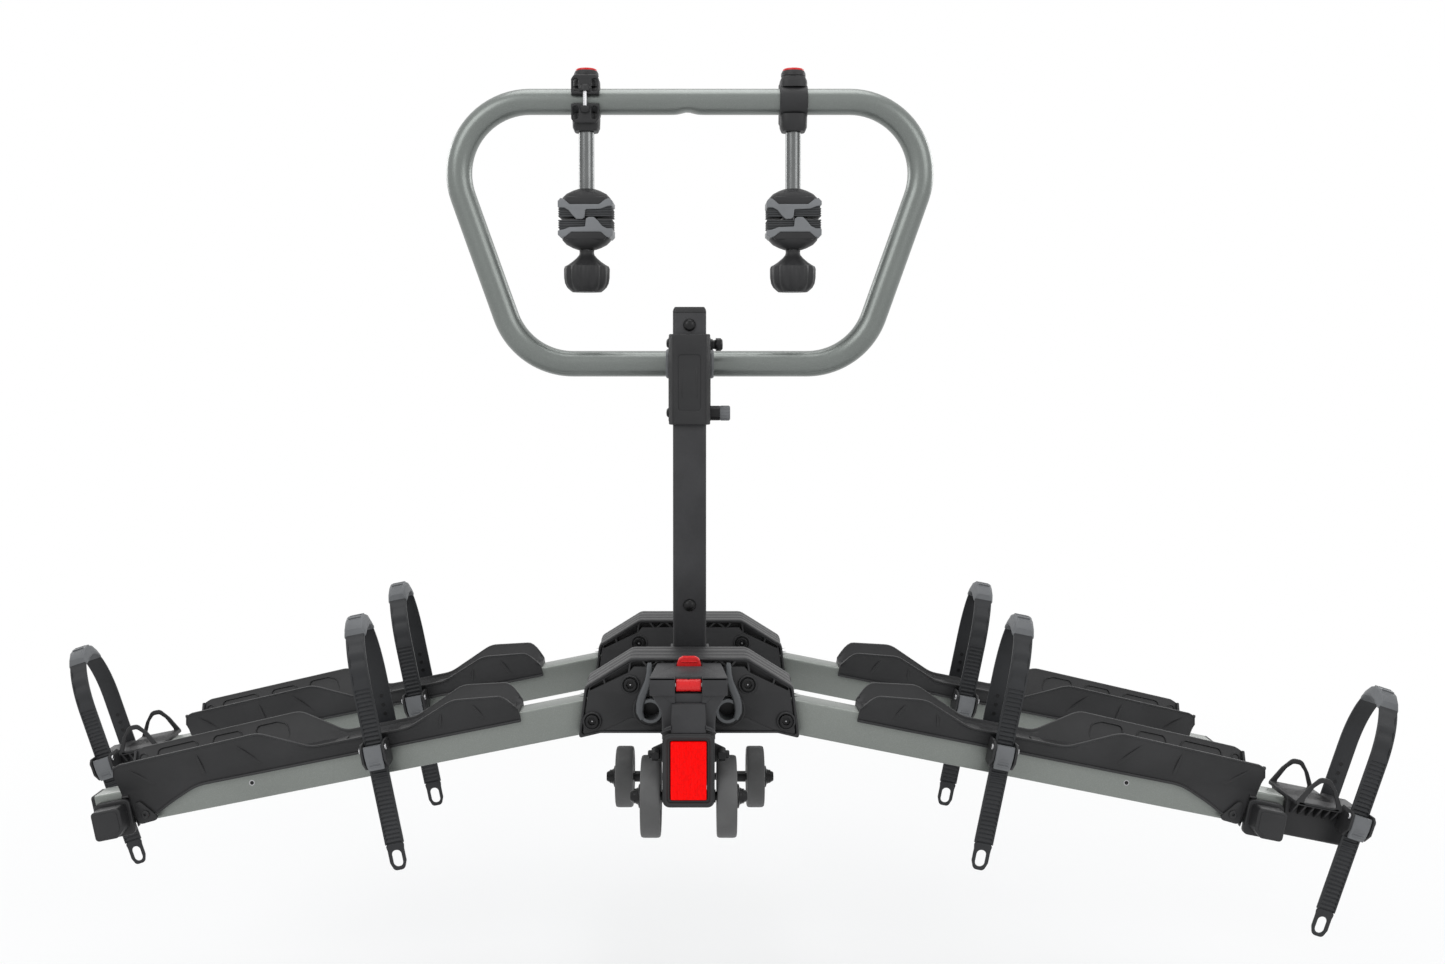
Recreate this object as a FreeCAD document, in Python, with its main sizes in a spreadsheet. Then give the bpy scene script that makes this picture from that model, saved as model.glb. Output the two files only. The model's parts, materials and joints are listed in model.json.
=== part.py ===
"""Two-bike platform rack for a 2 inch hitch receiver.

Frame: millimetres, +X to the right when standing behind the vehicle, +Y towards the
vehicle, +Z up. The origin is the middle of the hitch pin bore.
"""
import FreeCAD, Part
import math
import os
import re
import Sketcher
from FreeCAD import Placement, Rotation, Vector

os.makedirs("parts", exist_ok=True)

SIZES = {
    # overall layout
    "far_reach": 292,         # hitch pin to the middle of the inner rail line
    "line_pitch": 220,        # between the two rail lines
    "pivot_reach": 200,       # hitch pin to the tilt pivot
    "wing_x": 146.7,          # datum point of a wing, beside the centre
    "wing_z": 30,
    "droop": 11.31,           # degrees that a rail falls towards its end
    "joint_gap": 0.3,         # between pieces that only lie beside each other
    "run_gap": 0.08,          # radial running clearance of turning fits
    "plate": 3,               # steel bracket plate
    # hitch shank and tilt yoke
    "shank_width": 50.8,
    "shank_wall": 5,
    "shank_nose": 70,         # from the pin to the nose of the shank
    "pin_bore": 16.4,
    "yoke_back": 42,          # pivot to the yoke's back plate
    "yoke_front": 30,         # pivot to the open end of the yoke
    "yoke_cheek": 6,
    "pivot_size": 16,
    "bush_wall": 4,
    # main beam and side tubes
    "beam_width": 40,
    "beam_height": 60,
    "beam_wall": 3,
    "beam_front": 93,         # outer rail line to the front end of the beam
    "beam_tail": 12,          # beyond the tilt pivot
    "side_tube": 28,
    "side_tube_wall": 2.5,
    "side_tube_x": 44.3,
    "side_tube_z": 47.5,
    "side_tube_proud": 9,     # beyond the housings
    # central housings
    "house_depth": 62,
    "house_wall": 3,
    "roof_half": 67,
    "roof_top": 107,
    "shoulder_x": 120,
    "shoulder_z": 74,
    "hip_x": 127,
    "hip_z": 14,
    "sole_x": 102,
    "sole_z": 20,
    "boss": 8,                # radius of a bolt boss
    "bolt": 8,                # housing bolt diameter
    "bolt_gap": 0.2,
    "bolt_head": 15,
    "bolt_head_high": 5,
    "inner_bolt_x": 67.4,
    "inner_bolt_z": 76.5,
    "outer_bolt_u": -35.4,    # along the rail from the wing datum
    "outer_bolt_v": -2.9,
    # rails
    "rail_high": 40,
    "rail_thick": 32,
    "rail_wall": 2.5,
    "rail_start": -80,
    "rail_inner_x": 62,       # nearest that a rail comes to the centre
    "rail_end": 552,
    "rail_hole_u": 368.5,
    "rail_hole": 6,
    # wheel trays
    "tray_wall": 3.5,
    "tray_start": 47,
    "tray_end": 518,
    "tray_half": 39,
    "tray_floor": 3.5,
    "ramp_low": 25,
    "ramp_u": 58,
    "ramp_v": 46.3,
    "ramp_top_u": 117,
    "ramp_top_v": 54,
    "run_start": 175,
    "run_end": 288.6,
    "run_top": 30.4,
    "crest_u": 341.5,
    "crest_v": 60.7,
    "rear_crest_in": 27,      # how much nearer the middle the rear wall's crest is
    "tail_v": 55.2,
    "skirt_v": 3,
    "skirt_curve": 430,
    "skirt_drop": -23,
    # rail end caps
    "cap_face": 34,
    "cap_flange": 42,
    "cap_flange_thick": 8,
    "cap_proud": 27,
    "cap_u": 530.4,
    "cap_v": -9,
    "plug_lip": 4,
    "plug_depth": 12,
    # wheel straps
    "strap_u": 214.5,
    "strap_width": 22,
    "strap_thick": 3,
    "strap_half": 36,
    "strap_top": 158,
    "strap_shoulder": 86,     # where the legs start to bend over
    "strap_tail": -128,
    "pull_slot": 12,
    "pull_slot_long": 30,
    "pad_half": 12,
    "pad_high": 7,
    "buckle_low": -4,
    "buckle_high": 23.5,
    "buckle_front": 49,
    "buckle_cheek": 3,
    "lever_pin": 18,          # height of the lever's pin
    "lever_pin_w": 43.5,
    "lever_thick": 5,
    "lever_long": 24,
    "strap_anchor": 2,
    # outer cradles
    "cradle_u": 554,
    "cradle_long": 86,
    "cradle_half": 38,
    "cradle_peak": 56,
    "cradle_arch": 56,        # length of an arch along the rail
    "cradle_band": 6,
    "cradle_plate": 3,
    "cradle_wall": 3.5,
    "cradle_strap_u": 628,
    "cradle_strap_lean": 7,   # degrees further than the rail
    "cradle_bar": 230,        # length of bar held inside the rail
    "bar_wall": 2,
    # mast
    "mast_size": 40,
    "mast_wall": 3,
    "mast_back": 67,          # outer rail line to the mast
    "mast_top": 505,
    "mast_cap_high": 7,
    "mast_cap_skirt": 16,
    "mast_foot_top": 98,
    "mast_foot_half": 26,
    "stop_high": 490.4,
    "stop_low": 153.6,
    # slider and hoop
    "slider_low": 371,
    "slider_high": 479.5,
    "slider_wall": 4.5,
    "slider_front": 6,
    "slider_gap": 0.3,
    "slider_panel_half": 13.5,
    "slider_panel_low": 391,
    "slider_panel_high": 458,
    "slider_panel_deep": 2.5,
    "saddle_half": 21,
    "plunger_z": 467,
    "lock_knob_z": 384,
    "knob_pin": 8,
    "plunger_knob": 15,
    "plunger_long": 15,
    "lock_knob": 18,
    "lock_knob_long": 24,
    "hoop_tube": 31.8,
    "hoop_wall": 2.5,
    "hoop_low": 443.4,
    "hoop_high": 766.2,
    "hoop_low_half": 207.1,
    "hoop_high_half": 321.4,
    "hoop_bend": 88,
    # hanging arms
    "arm_x": 127.5,
    "arm_ring_wall": 4.5,
    "arm_ring_half": 15,
    "arm_boss": 17,
    "arm_boss_low": 729,
    "arm_boss_high": 796,
    "arm_tube": 19,
    "arm_tube_wall": 2,
    "arm_slit": 9,
    "arm_screw": 6,
    "arm_screw_wall": 3.5,
    "arm_screw_grip": 14,     # half the length between the screw's heads
    "arm_screw_head": 3,
    "arm_knob_high": 10,
    "clamp_rod": 10,
    "jaw_top": 659,
    "jaw_mid": 621.5,
    "jaw_low": 584,
    "jaw_half_x": 33.5,
    "jaw_half_y": 24,
    "jaw_grip": 9,            # radius of a grip groove
    "jaw_grip_x": 20,
    "grip_knob": 59,
    "grip_knob_low": 532,
    "grip_knob_high": 562,
    "grip_neck": 24,
    # latch head, reflector, wheels
    "head_low": 82,
    "head_high": 102,
    "head_front": 103,        # outer rail line to the front of the head
    "head_front_half": 43,
    "head_rear_half": 38.5,
    "neck_half": 30,
    "neck_front": 93,
    "neck_back": 36,
    "release_half": 14,
    "release_gap": 0.6,
    "release_pin": 6,
    "release_pin_back": 93,
    "release_pin_z": 92,
    "frame_half_x": 28.7,
    "frame_half_z": 40.8,
    "frame_front": 108,
    "frame_back": 80,
    "panel_half_x": 20,
    "panel_half_z": 32.5,
    "panel_recess": 4,
    "near_wheel": 90,
    "near_wheel_width": 22.5,
    "near_wheel_x": 42.5,
    "near_wheel_z": -43,
    "near_wheel_front": 60,   # in front of the outer rail line
    "near_axle": 10,
    "far_wheel": 75,
    "far_wheel_width": 22,
    "far_wheel_x": 82,
    "far_wheel_z": -78,
    "far_wheel_back": 120,    # behind the outer rail line
    "far_axle": 9,
    "axle_cap": 27,
    "axle_cap_long": 12,
}

doc = FreeCAD.newDocument("bike_rack")
sheet = doc.addObject("Spreadsheet::Sheet", "Sizes")
for row, (alias, value) in enumerate(SIZES.items(), start=1):
    sheet.set(f"A{row}", alias)
    sheet.set(f"B{row}", str(value))
    sheet.setAlias(f"B{row}", alias)
doc.recompute()

WORD = re.compile(r"[a-z_]+")
PLANES = {"XY_Plane": 1, "XZ_Plane": -1, "YZ_Plane": 1}
nodes = []


def bound(text):
    """An expression on plain size names, written the way the document reads it."""
    return WORD.sub(lambda m: f"Sizes.{m[0]}" if m[0] in SIZES else m[0], str(text))


def size(text):
    """The value of an expression on size names."""
    return float(sheet.evalExpression(bound(text)))


def neg(text):
    return f"-({text})"


def new_body(label):
    body = doc.addObject("PartDesign::Body", label)
    body.Label = label
    return body


def pin_point(sketch, geometry, end, x, y):
    """Tie one point of a sketch to its two expressions."""
    for kind, text, axis in (("DistanceX", x, -2), ("DistanceY", y, -1)):
        value = size(text)
        if abs(value) < 1e-9:
            sketch.addConstraint(Sketcher.Constraint("PointOnObject", geometry, end, axis))
            continue
        index = sketch.addConstraint(Sketcher.Constraint(kind, -1, 1, geometry, end, value))
        sketch.setExpression(f"Constraints[{index}]", bound(text))


def draw(body, plane, level, loops):
    """A sketch at a level along an origin plane's axis; a loop of 3 is a circle."""
    sketch = body.newObject("Sketcher::SketchObject", f"{body.Label}_sketch")
    origin = [f for f in body.Origin.OriginFeatures if f.Role == plane][0]
    sketch.AttachmentSupport = [(origin, "")]
    sketch.MapMode = "FlatFace"
    sign = PLANES[plane]
    sketch.setExpression("AttachmentOffset.Base.z", bound(f"{sign} * ({level})"))
    for loop in loops:
        if isinstance(loop, tuple):
            x, y, radius = loop
            centre = Vector(size(x), size(y), 0)
            ring = sketch.addGeometry(Part.Circle(centre, Vector(0, 0, 1), size(radius)), False)
            pin_point(sketch, ring, 3, x, y)
            index = sketch.addConstraint(Sketcher.Constraint("Radius", ring, size(radius)))
            sketch.setExpression(f"Constraints[{index}]", bound(radius))
            continue
        points = [Vector(size(x), size(y), 0) for x, y in loop]
        first = sketch.GeometryCount
        for i, point in enumerate(points):
            sketch.addGeometry(Part.LineSegment(point, points[(i + 1) % len(points)]), False)
        for i, (x, y) in enumerate(loop):
            after = first + (i + 1) % len(points)
            sketch.addConstraint(Sketcher.Constraint("Coincident", first + i, 2, after, 1))
            pin_point(sketch, first + i, 1, x, y)
    return sketch


def add(body, plane, low, high, *loops):
    """Pad loops from one level to a higher one along the plane's axis."""
    start = high if plane == "XZ_Plane" else low
    pad = body.newObject("PartDesign::Pad", f"{body.Label}_pad")
    pad.Profile = draw(body, plane, start, loops)
    pad.setExpression("Length", bound(f"({high}) - ({low})"))
    doc.recompute()
    return pad


def cut(body, plane, low, high, *loops):
    """Pocket loops from one level to a higher one along the plane's axis."""
    start = low if plane == "XZ_Plane" else high
    before = body.Shape.Volume
    pocket = body.newObject("PartDesign::Pocket", f"{body.Label}_pocket")
    pocket.Profile = draw(body, plane, start, loops)
    pocket.setExpression("Length", bound(f"({high}) - ({low})"))
    doc.recompute()
    if body.Shape.Volume >= before:
        raise RuntimeError(f"a pocket in {body.Label} cuts nothing")
    return pocket


def box_loop(x_low, x_high, y_low, y_high):
    return [(x_low, y_low), (x_high, y_low), (x_high, y_high), (x_low, y_high)]


def centred(half_x, half_y):
    return box_loop(neg(half_x), half_x, neg(half_y), half_y)


def both_sides(points):
    """A loop from its right half, given from the bottom up."""
    return list(points) + [(neg(x), y) for x, y in reversed(points)]


def place(thing, x, y, z, rotation=None):
    thing.Placement = Placement(Vector(size(x), size(y), size(z)), rotation or Rotation())
    for axis, text in zip("xyz", (x, y, z)):
        thing.setExpression(f"Placement.Base.{axis}", bound(text))
    return thing


def keep(thing, label=None):
    """Make an object one of the written pieces."""
    if label:
        thing.Label = label
    nodes.append(thing)
    return thing


def gather(label, pieces):
    """One node that holds several like pieces as separate solids."""
    group = doc.addObject("Part::Compound", label)
    group.Links = pieces
    return keep(group, label)


def turned(label, profile):
    """A piece turned about its own Z axis from (radius, height) points."""
    body = new_body(label)
    sketch = draw(body, "XZ_Plane", "0", [profile])
    turn = body.newObject("PartDesign::Revolution", f"{label}_turn")
    turn.Profile = sketch
    turn.ReferenceAxis = (sketch, ["V_Axis"])
    turn.Angle = 360
    doc.recompute()
    return body


NEAR = "-far_reach - line_pitch"
FAR = "-far_reach"
MAST = f"{NEAR} + mast_back"
HOOP = f"{MAST} + mast_size / 2 + slider_gap + slider_wall + hoop_tube / 2"
ALONG_X = Rotation(Vector(0, 1, 0), 90)
ALONG_MINUS_X = Rotation(Vector(0, 1, 0), -90)
ALONG_Y = Rotation(Vector(1, 0, 0), -90)
ALONG_MINUS_Y = Rotation(Vector(1, 0, 0), 90)


def on_wing(thing, side, line):
    """Set a piece on a wing: its local X runs out along the rail, its Z stands off it."""
    turn = Rotation(Vector(0, 1, 0), size("droop"))
    if side < 0:
        turn = Rotation(Vector(0, 0, 1), 180).multiply(turn)
    return place(thing, f"{side} * wing_x", line, "wing_z", turn)


# ---------------------------------------------------------------- hitch and tilt pivot
def hitch_shank():
    body = new_body("hitch_shank")
    half = "shank_width / 2"
    inner = "shank_width / 2 - shank_wall"
    back = "-pivot_reach + yoke_back + yoke_cheek"
    add(body, "XZ_Plane", back, "shank_nose", centred(half, half), centred(inner, inner))
    cut(body, "YZ_Plane", "-shank_width", "shank_width", ("0", "0", "pin_bore / 2"))
    keep(body)


def pivot_yoke():
    body = new_body("pivot_yoke")
    inside = "beam_width / 2 + joint_gap"
    outside = f"{inside} + yoke_cheek"
    front = "-pivot_reach - yoke_front"
    wall = "-pivot_reach + yoke_back"
    back = f"{wall} + yoke_cheek"
    outline = [(neg(outside), front), (neg(inside), front), (neg(inside), wall), (inside, wall)]
    outline += [(inside, front), (outside, front), (outside, back), (neg(outside), back)]
    add(body, "XY_Plane", "-beam_height / 2", "beam_height / 2", outline)
    hole = ("-pivot_reach", "0", "pivot_size / 2 + run_gap")
    cut(body, "YZ_Plane", neg(outside), outside, hole)
    keep(body)


def pivot_bolt():
    seat = "beam_width / 2 + joint_gap + yoke_cheek"
    bolt = turned("tilt_bolt", [
        ("0", f"-({seat}) - 9"), ("pivot_size * 0.75", f"-({seat}) - 9"),
        ("pivot_size * 0.75", neg(seat)), ("pivot_size / 2", neg(seat)),
        ("pivot_size / 2", f"{seat} + 14"), ("0", f"{seat} + 14")])
    nut = doc.addObject("Part::Prism", "tilt_nut_blank")
    nut.Polygon = 6
    nut.setExpression("Circumradius", bound("pivot_size * 0.85"))
    nut.Height = 12
    place(nut, "0", "0", seat)
    hole = doc.addObject("Part::Cylinder", "tilt_nut_hole")
    hole.setExpression("Radius", bound("pivot_size / 2 + run_gap"))
    hole.Height = 12
    place(hole, "0", "0", seat)
    tapped = doc.addObject("Part::Cut", "tilt_nut")
    tapped.Base = nut
    tapped.Tool = hole
    group = gather("pivot_bolt", [bolt, tapped])
    place(group, "0", "-pivot_reach", "0", ALONG_X)


def main_beam():
    body = new_body("main_beam")
    outer = centred("beam_width / 2", "beam_height / 2")
    inner = centred("beam_width / 2 - beam_wall", "beam_height / 2 - beam_wall")
    add(body, "XZ_Plane", f"{NEAR} - beam_front", "-pivot_reach + beam_tail", outer, inner)
    cut(body, "YZ_Plane", "-beam_width", "beam_width",
        ("-pivot_reach", "0", "pivot_size / 2 + bush_wall + run_gap"))
    keep(body)
    bush = new_body("pivot_bush")
    add(bush, "YZ_Plane", "-beam_width / 2", "beam_width / 2",
        ("-pivot_reach", "0", "pivot_size / 2 + bush_wall"),
        ("-pivot_reach", "0", "pivot_size / 2 + run_gap"))
    keep(bush)


def side_tubes():
    pieces = []
    for side in (-1, 1):
        tube = new_body(f"side_tube_{'left' if side < 0 else 'right'}")
        x = f"{side} * side_tube_x"
        low = f"{NEAR} - house_depth / 2 - side_tube_proud"
        high = f"{FAR} + house_depth / 2 + side_tube_proud"
        add(tube, "XZ_Plane", low, high, (x, "side_tube_z", "side_tube / 2"),
            (x, "side_tube_z", "side_tube / 2 - side_tube_wall"))
        pieces.append(tube)
    gather("side_tubes", pieces)


# ---------------------------------------------------------------- central housings
BOLT_X = "wing_x + outer_bolt_u * cos(droop) + outer_bolt_v * sin(droop)"
BOLT_Z = "wing_z - outer_bolt_u * sin(droop) + outer_bolt_v * cos(droop)"


def house_outline(wall):
    return both_sides([
        ("sole_x", f"sole_z + {wall}"), (f"hip_x - {wall}", f"hip_z + {wall}"),
        (f"shoulder_x - {wall}", f"shoulder_z - {wall} / 2"),
        (f"roof_half - {wall} / 2", f"roof_top - {wall}")])


def rail_window(side, low, high):
    """The slanted outline that a rail fills between two X positions."""
    points = []
    for x, sign in ((low, -1), (high, -1), (high, 1), (low, 1)):
        half = f"(rail_high / 2 + joint_gap) / cos(droop)"
        z = f"wing_z - ({x} - wing_x) * tan(droop) + {sign} * {half}"
        points.append((f"{side} * ({x})", z))
    return points


def housing_shell(label, line, front):
    """Half of an arch housing: its face plate, its rim and its bolt bosses."""
    face = f"{line} - house_depth / 2" if front else f"{line} + house_depth / 2"
    middle = f"{line} - joint_gap / 2" if front else f"{line} + joint_gap / 2"
    sign = 1 if front else -1
    inside = f"{face} + {sign} * house_wall"
    rail_side = f"{line} - {sign} * (rail_thick / 2 + joint_gap)"
    body = new_body(label)
    span = (face, inside) if front else (inside, face)
    add(body, "XZ_Plane", *span, house_outline("0"))
    span = (inside, middle) if front else (middle, inside)
    add(body, "XZ_Plane", *span, house_outline("0"), house_outline("house_wall"))
    hole = "bolt / 2 + bolt_gap"
    for side in (-1, 1):
        low_boss = (inside, rail_side) if front else (rail_side, inside)
        place_x = f"{side} * ({BOLT_X})"
        add(body, "XZ_Plane", *low_boss, (place_x, BOLT_Z, "boss"), (place_x, BOLT_Z, hole))
        high_boss = (inside, middle) if front else (middle, inside)
        place_x = f"{side} * inner_bolt_x"
        add(body, "XZ_Plane", *high_boss, (place_x, "inner_bolt_z", "boss"),
            (place_x, "inner_bolt_z", hole))
    through = (face, middle) if front else (middle, face)
    for side in (-1, 1):
        cut(body, "XZ_Plane", *through, (f"{side} * ({BOLT_X})", BOLT_Z, hole),
            (f"{side} * inner_bolt_x", "inner_bolt_z", hole),
            (f"{side} * side_tube_x", "side_tube_z", "side_tube / 2 + joint_gap"))
        window = (rail_side, middle) if front else (middle, rail_side)
        cut(body, "XZ_Plane", *window, rail_window(side, "rail_inner_x", "hip_x + plate"))
    notch = "beam_width / 2 + joint_gap"
    cut(body, "XZ_Plane", *through,
        box_loop(neg(notch), notch, "hip_z", "beam_height / 2 + joint_gap"))
    return body



def housings():
    keep(housing_shell("near_housing_front", NEAR, True))
    keep(housing_shell("far_housing_front", FAR, True))
    backs = [housing_shell("near_housing_back", NEAR, False)]
    backs.append(housing_shell("far_housing_back", FAR, False))
    gather("housing_backs", backs)


# ---------------------------------------------------------------- rails and their ends
def rail(label, side, line):
    body = new_body(label)
    outer = centred("rail_thick / 2", "rail_high / 2")
    inner = centred("rail_thick / 2 - rail_wall", "rail_high / 2 - rail_wall")
    add(body, "YZ_Plane", "rail_start", "rail_end", outer, inner)
    cut(body, "XZ_Plane", "-rail_thick", "rail_thick",
        ("outer_bolt_u", "outer_bolt_v", "bolt / 2 + bolt_gap"),
        ("rail_hole_u", "0", "rail_hole / 2"))
    return keep(on_wing(body, side, line))


def tray(label, side, line):
    """A wheel tray: one gutter section, cut to its side outline, that straddles the rail."""
    body = new_body(label)
    saddle = "rail_thick / 2 + joint_gap"
    seat = "rail_high / 2 + joint_gap"
    floor = f"{seat} + tray_floor"
    right = [(saddle, "skirt_drop"), (f"{saddle} + tray_wall", "skirt_drop"),
             (f"{saddle} + tray_wall", floor), ("tray_half", "crest_v + 4"),
             ("tray_half - tray_wall", "crest_v + 4"), (f"{saddle} - 1", floor)]
    left = [(neg(x), y) for x, y in reversed(right)]
    outline = right + left + [(neg(saddle), seat), (saddle, seat)]
    add(body, "YZ_Plane", "tray_start", "tray_end", outline)
    for face, shift in ((-side, "0"), (side, "rear_crest_in")):
        above = [("tray_start - 1", "ramp_low"), ("tray_start", "ramp_low"), ("ramp_u", "ramp_v"),
                 ("ramp_top_u", "ramp_top_v"), ("run_start", "run_top"),
                 (f"run_end - {shift}", "run_top"), (f"crest_u - {shift}", "crest_v"),
                 ("tray_end + 1", "tail_v"), ("tray_end + 1", "crest_v * 2"),
                 ("tray_start - 1", "crest_v * 2")]
        levels = ("0", "tray_half * 2") if face > 0 else ("-tray_half * 2", "0")
        cut(body, "XZ_Plane", *levels, above)
    skirt_end = "cap_u - cap_flange / 2 - joint_gap"
    below = [("tray_start - 1", "skirt_drop - 1"), (f"{skirt_end} - 6", "skirt_drop - 1"),
             (f"({skirt_end} + skirt_curve) / 2", "skirt_v - 10"), ("skirt_curve", "skirt_v"),
             ("tray_start - 1", "skirt_v")]
    beside_cap = box_loop(skirt_end, "tray_end + 1", "skirt_drop - 1",
                          "cap_v + cap_flange / 2 + joint_gap")
    cut(body, "XZ_Plane", "-tray_half * 2", "tray_half * 2", below)
    cut(body, "XZ_Plane", "-tray_half * 2", "tray_half * 2", beside_cap)
    return keep(on_wing(body, side, line))


def corner_cap(side):
    """A square rubber-faced block on the front of a rail's end."""
    body = new_body(f"corner_cap_{'left' if side < 0 else 'right'}")
    seat = "rail_thick / 2 + joint_gap"
    for low, high, width in ((seat, f"{seat} + cap_flange_thick", "cap_flange"),
                             (f"{seat} + cap_flange_thick", f"{seat} + cap_proud", "cap_face")):
        levels = (neg(high), neg(low)) if side > 0 else (low, high)
        add(body, "XZ_Plane", *levels, box_loop(f"cap_u - {width} / 2", f"cap_u + {width} / 2",
                                                f"cap_v - {width} / 2", f"cap_v + {width} / 2"))
    return on_wing(body, side, NEAR)


def end_plug(label, side, line):
    body = new_body(label)
    add(body, "YZ_Plane", "rail_end + joint_gap", "rail_end + joint_gap + plug_lip",
        centred("rail_thick / 2", "rail_high / 2"))
    fit = "(rail_wall + joint_gap)"
    add(body, "YZ_Plane", "rail_end - plug_depth", "rail_end + joint_gap",
        centred(f"rail_thick / 2 - {fit}", f"rail_high / 2 - {fit}"))
    return on_wing(body, side, line)


def wings():
    for side, hand in ((-1, "left"), (1, "right")):
        for line, row in ((NEAR, "near"), (FAR, "far")):
            rail(f"rail_{row}_{hand}", side, line)
            tray(f"tray_{row}_{hand}", side, line)
    gather("rail_end_caps", [corner_cap(-1), corner_cap(1), end_plug("plug_near_left", -1, NEAR),
                             end_plug("plug_far_right", 1, FAR)])


# ---------------------------------------------------------------- wheel straps
def rounded_path(points, radii, closed=False):
    """A wire of straight runs joined by tangent arcs, one radius for each inner corner."""
    count = len(points)
    corners = range(count) if closed else range(1, count - 1)
    trims = {}
    for i, radius in zip(corners, radii):
        before = (points[i - 1] - points[i]).normalize()
        after = (points[(i + 1) % count] - points[i]).normalize()
        half = before.getAngle(after) / 2
        reach = radius / math.tan(half)
        middle = points[i] + (before + after).normalize() * (radius / math.sin(half) - radius)
        trims[i] = (points[i] + before * reach, middle, points[i] + after * reach)
    edges = []
    for i in range(count if closed else count - 1):
        after = (i + 1) % count
        start = trims[i][2] if i in trims else points[i]
        end = trims[after][0] if after in trims else points[after]
        edges.append(Part.LineSegment(start, end).toShape())
        if after in trims:
            edges.append(Part.Arc(*trims[after]).toShape())
    return Part.Wire(edges)


def strap_shape(face):
    """A ratchet strap in a rail's frame; face is the sign of local Y on its buckle side."""
    half = size("strap_half")
    front = face * half
    back = -front
    shoulder = size("strap_shoulder")
    width = size("strap_width")
    thick = size("strap_thick")
    bow = Part.Ellipse(Vector(0, 0, size("strap_top")), Vector(0, back, shoulder),
                       Vector(0, 0, shoulder))
    tail = Part.LineSegment(Vector(0, front, size("strap_tail")), Vector(0, front, shoulder))
    leg = Part.LineSegment(Vector(0, back, shoulder), Vector(0, back, size("strap_anchor")))
    path = Part.Wire([tail.toShape(), Part.ArcOfEllipse(bow, -math.pi / 2, math.pi / 2).toShape(),
                      leg.toShape()])
    start = Vector(0, front, size("strap_tail"))
    across = Vector(width / 2, 0, 0)
    deep = Vector(0, thick / 2, 0)
    corners = [start - across - deep, start + across - deep, start + across + deep,
               start - across + deep]
    profile = Part.makePolygon(corners + corners[:1])
    band = path.makePipeShell([profile], True, True)
    slot = size("pull_slot")
    low = size("strap_tail") + slot
    high = low + size("pull_slot_long") - slot
    hole = Part.makeBox(slot, thick * 2, high - low, Vector(-slot / 2, front - thick, low))
    for z in (low, high):
        ring = Part.makeCylinder(slot / 2, thick * 2, Vector(0, front - thick, z), Vector(0, 1, 0))
        hole = hole.fuse(ring)
    return band.cut(hole.removeSplitter())


def strap(label, side, line, u, lean=0):
    piece = doc.addObject("Part::Feature", label)
    piece.Shape = strap_shape(-side)
    on_strap(piece, side, line, u, lean)
    return piece


def on_strap(thing, side, line, u, lean):
    """Set a piece on a wing at a strap, leaning about the rail's middle."""
    on_wing(thing, side, line)
    seat = Placement(Vector(size(u), 0, 0), Rotation(Vector(0, 1, 0), size(lean)))
    spot = thing.Placement.multiply(seat)
    for axis in "xyz":
        thing.setExpression(f"Placement.Base.{axis}", None)
    thing.Placement = spot
    return thing


def facing(side, low, high):
    """Y levels on the buckle side of a wing, from its distances off the rail's middle."""
    return (neg(high), neg(low)) if side > 0 else (low, high)


def strap_pad(label, side, line, u, lean=0):
    body = new_body(label)
    low = "strap_top + strap_thick / 2 + joint_gap"
    wide = "strap_width / 2 + 2"
    shape = [(neg(wide), low), (wide, low), (f"{wide} - 3", f"{low} + pad_high"),
             (f"-({wide} - 3)", f"{low} + pad_high")]
    add(body, "XZ_Plane", "-pad_half", "pad_half", shape)
    return on_strap(body, side, line, u, lean)


def buckle(label, side, line, u, lean=0, seat="rail_thick / 2 + tray_wall + joint_gap * 2"):
    """A buckle block on the front of the tray: two cheeks with the strap between them."""
    body = new_body(label)
    slot = "strap_width / 2 + joint_gap"
    wide = f"{slot} + buckle_cheek"
    back = "strap_half - strap_thick / 2 - joint_gap"
    levels = facing(side, seat, "buckle_front")
    add(body, "XZ_Plane", *levels, box_loop(neg(wide), wide, "buckle_low", "buckle_high"))
    levels = facing(side, back, "buckle_front + 1")
    cut(body, "XZ_Plane", *levels, box_loop(neg(slot), slot, "buckle_low - 1", "buckle_high + 1"))
    pin = (f"-{side} * lever_pin_w", "lever_pin", "2 + run_gap")
    cut(body, "YZ_Plane", neg(wide), wide, pin)
    return on_strap(body, side, line, u, lean)


def anchor(label, side, line, u, lean=0, seat="rail_thick / 2 + tray_wall + joint_gap * 2"):
    """The lug on the back of the tray that holds the fixed end of a strap."""
    body = new_body(label)
    high = "strap_half - strap_thick / 2 - joint_gap"
    levels = facing(-side, seat, high)
    add(body, "XZ_Plane", *levels, box_loop("-strap_width / 2", "strap_width / 2",
                                            "strap_anchor", "buckle_high - 6"))
    return on_strap(body, side, line, u, lean)


def buckle_lever(label, side, line, u, lean=0):
    """The ratchet lever with its pin; it hangs in front of the strap."""
    body = new_body(label)
    wide = "strap_width / 2 - joint_gap"
    w = f"-{side} * lever_pin_w"
    add(body, "YZ_Plane", neg(wide), wide, (w, "lever_pin", "lever_thick / 2 + 1"))
    reach = ("lever_pin_w - lever_thick / 2", "lever_pin_w + lever_thick / 2")
    add(body, "XZ_Plane", *facing(side, *reach),
        box_loop(neg(wide), wide, "lever_pin - lever_long", "lever_pin"))
    pin = "strap_width / 2 + joint_gap + buckle_cheek"
    add(body, "YZ_Plane", neg(pin), pin, (w, "lever_pin", "2"))
    return keep(on_strap(body, side, line, u, lean))


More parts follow.
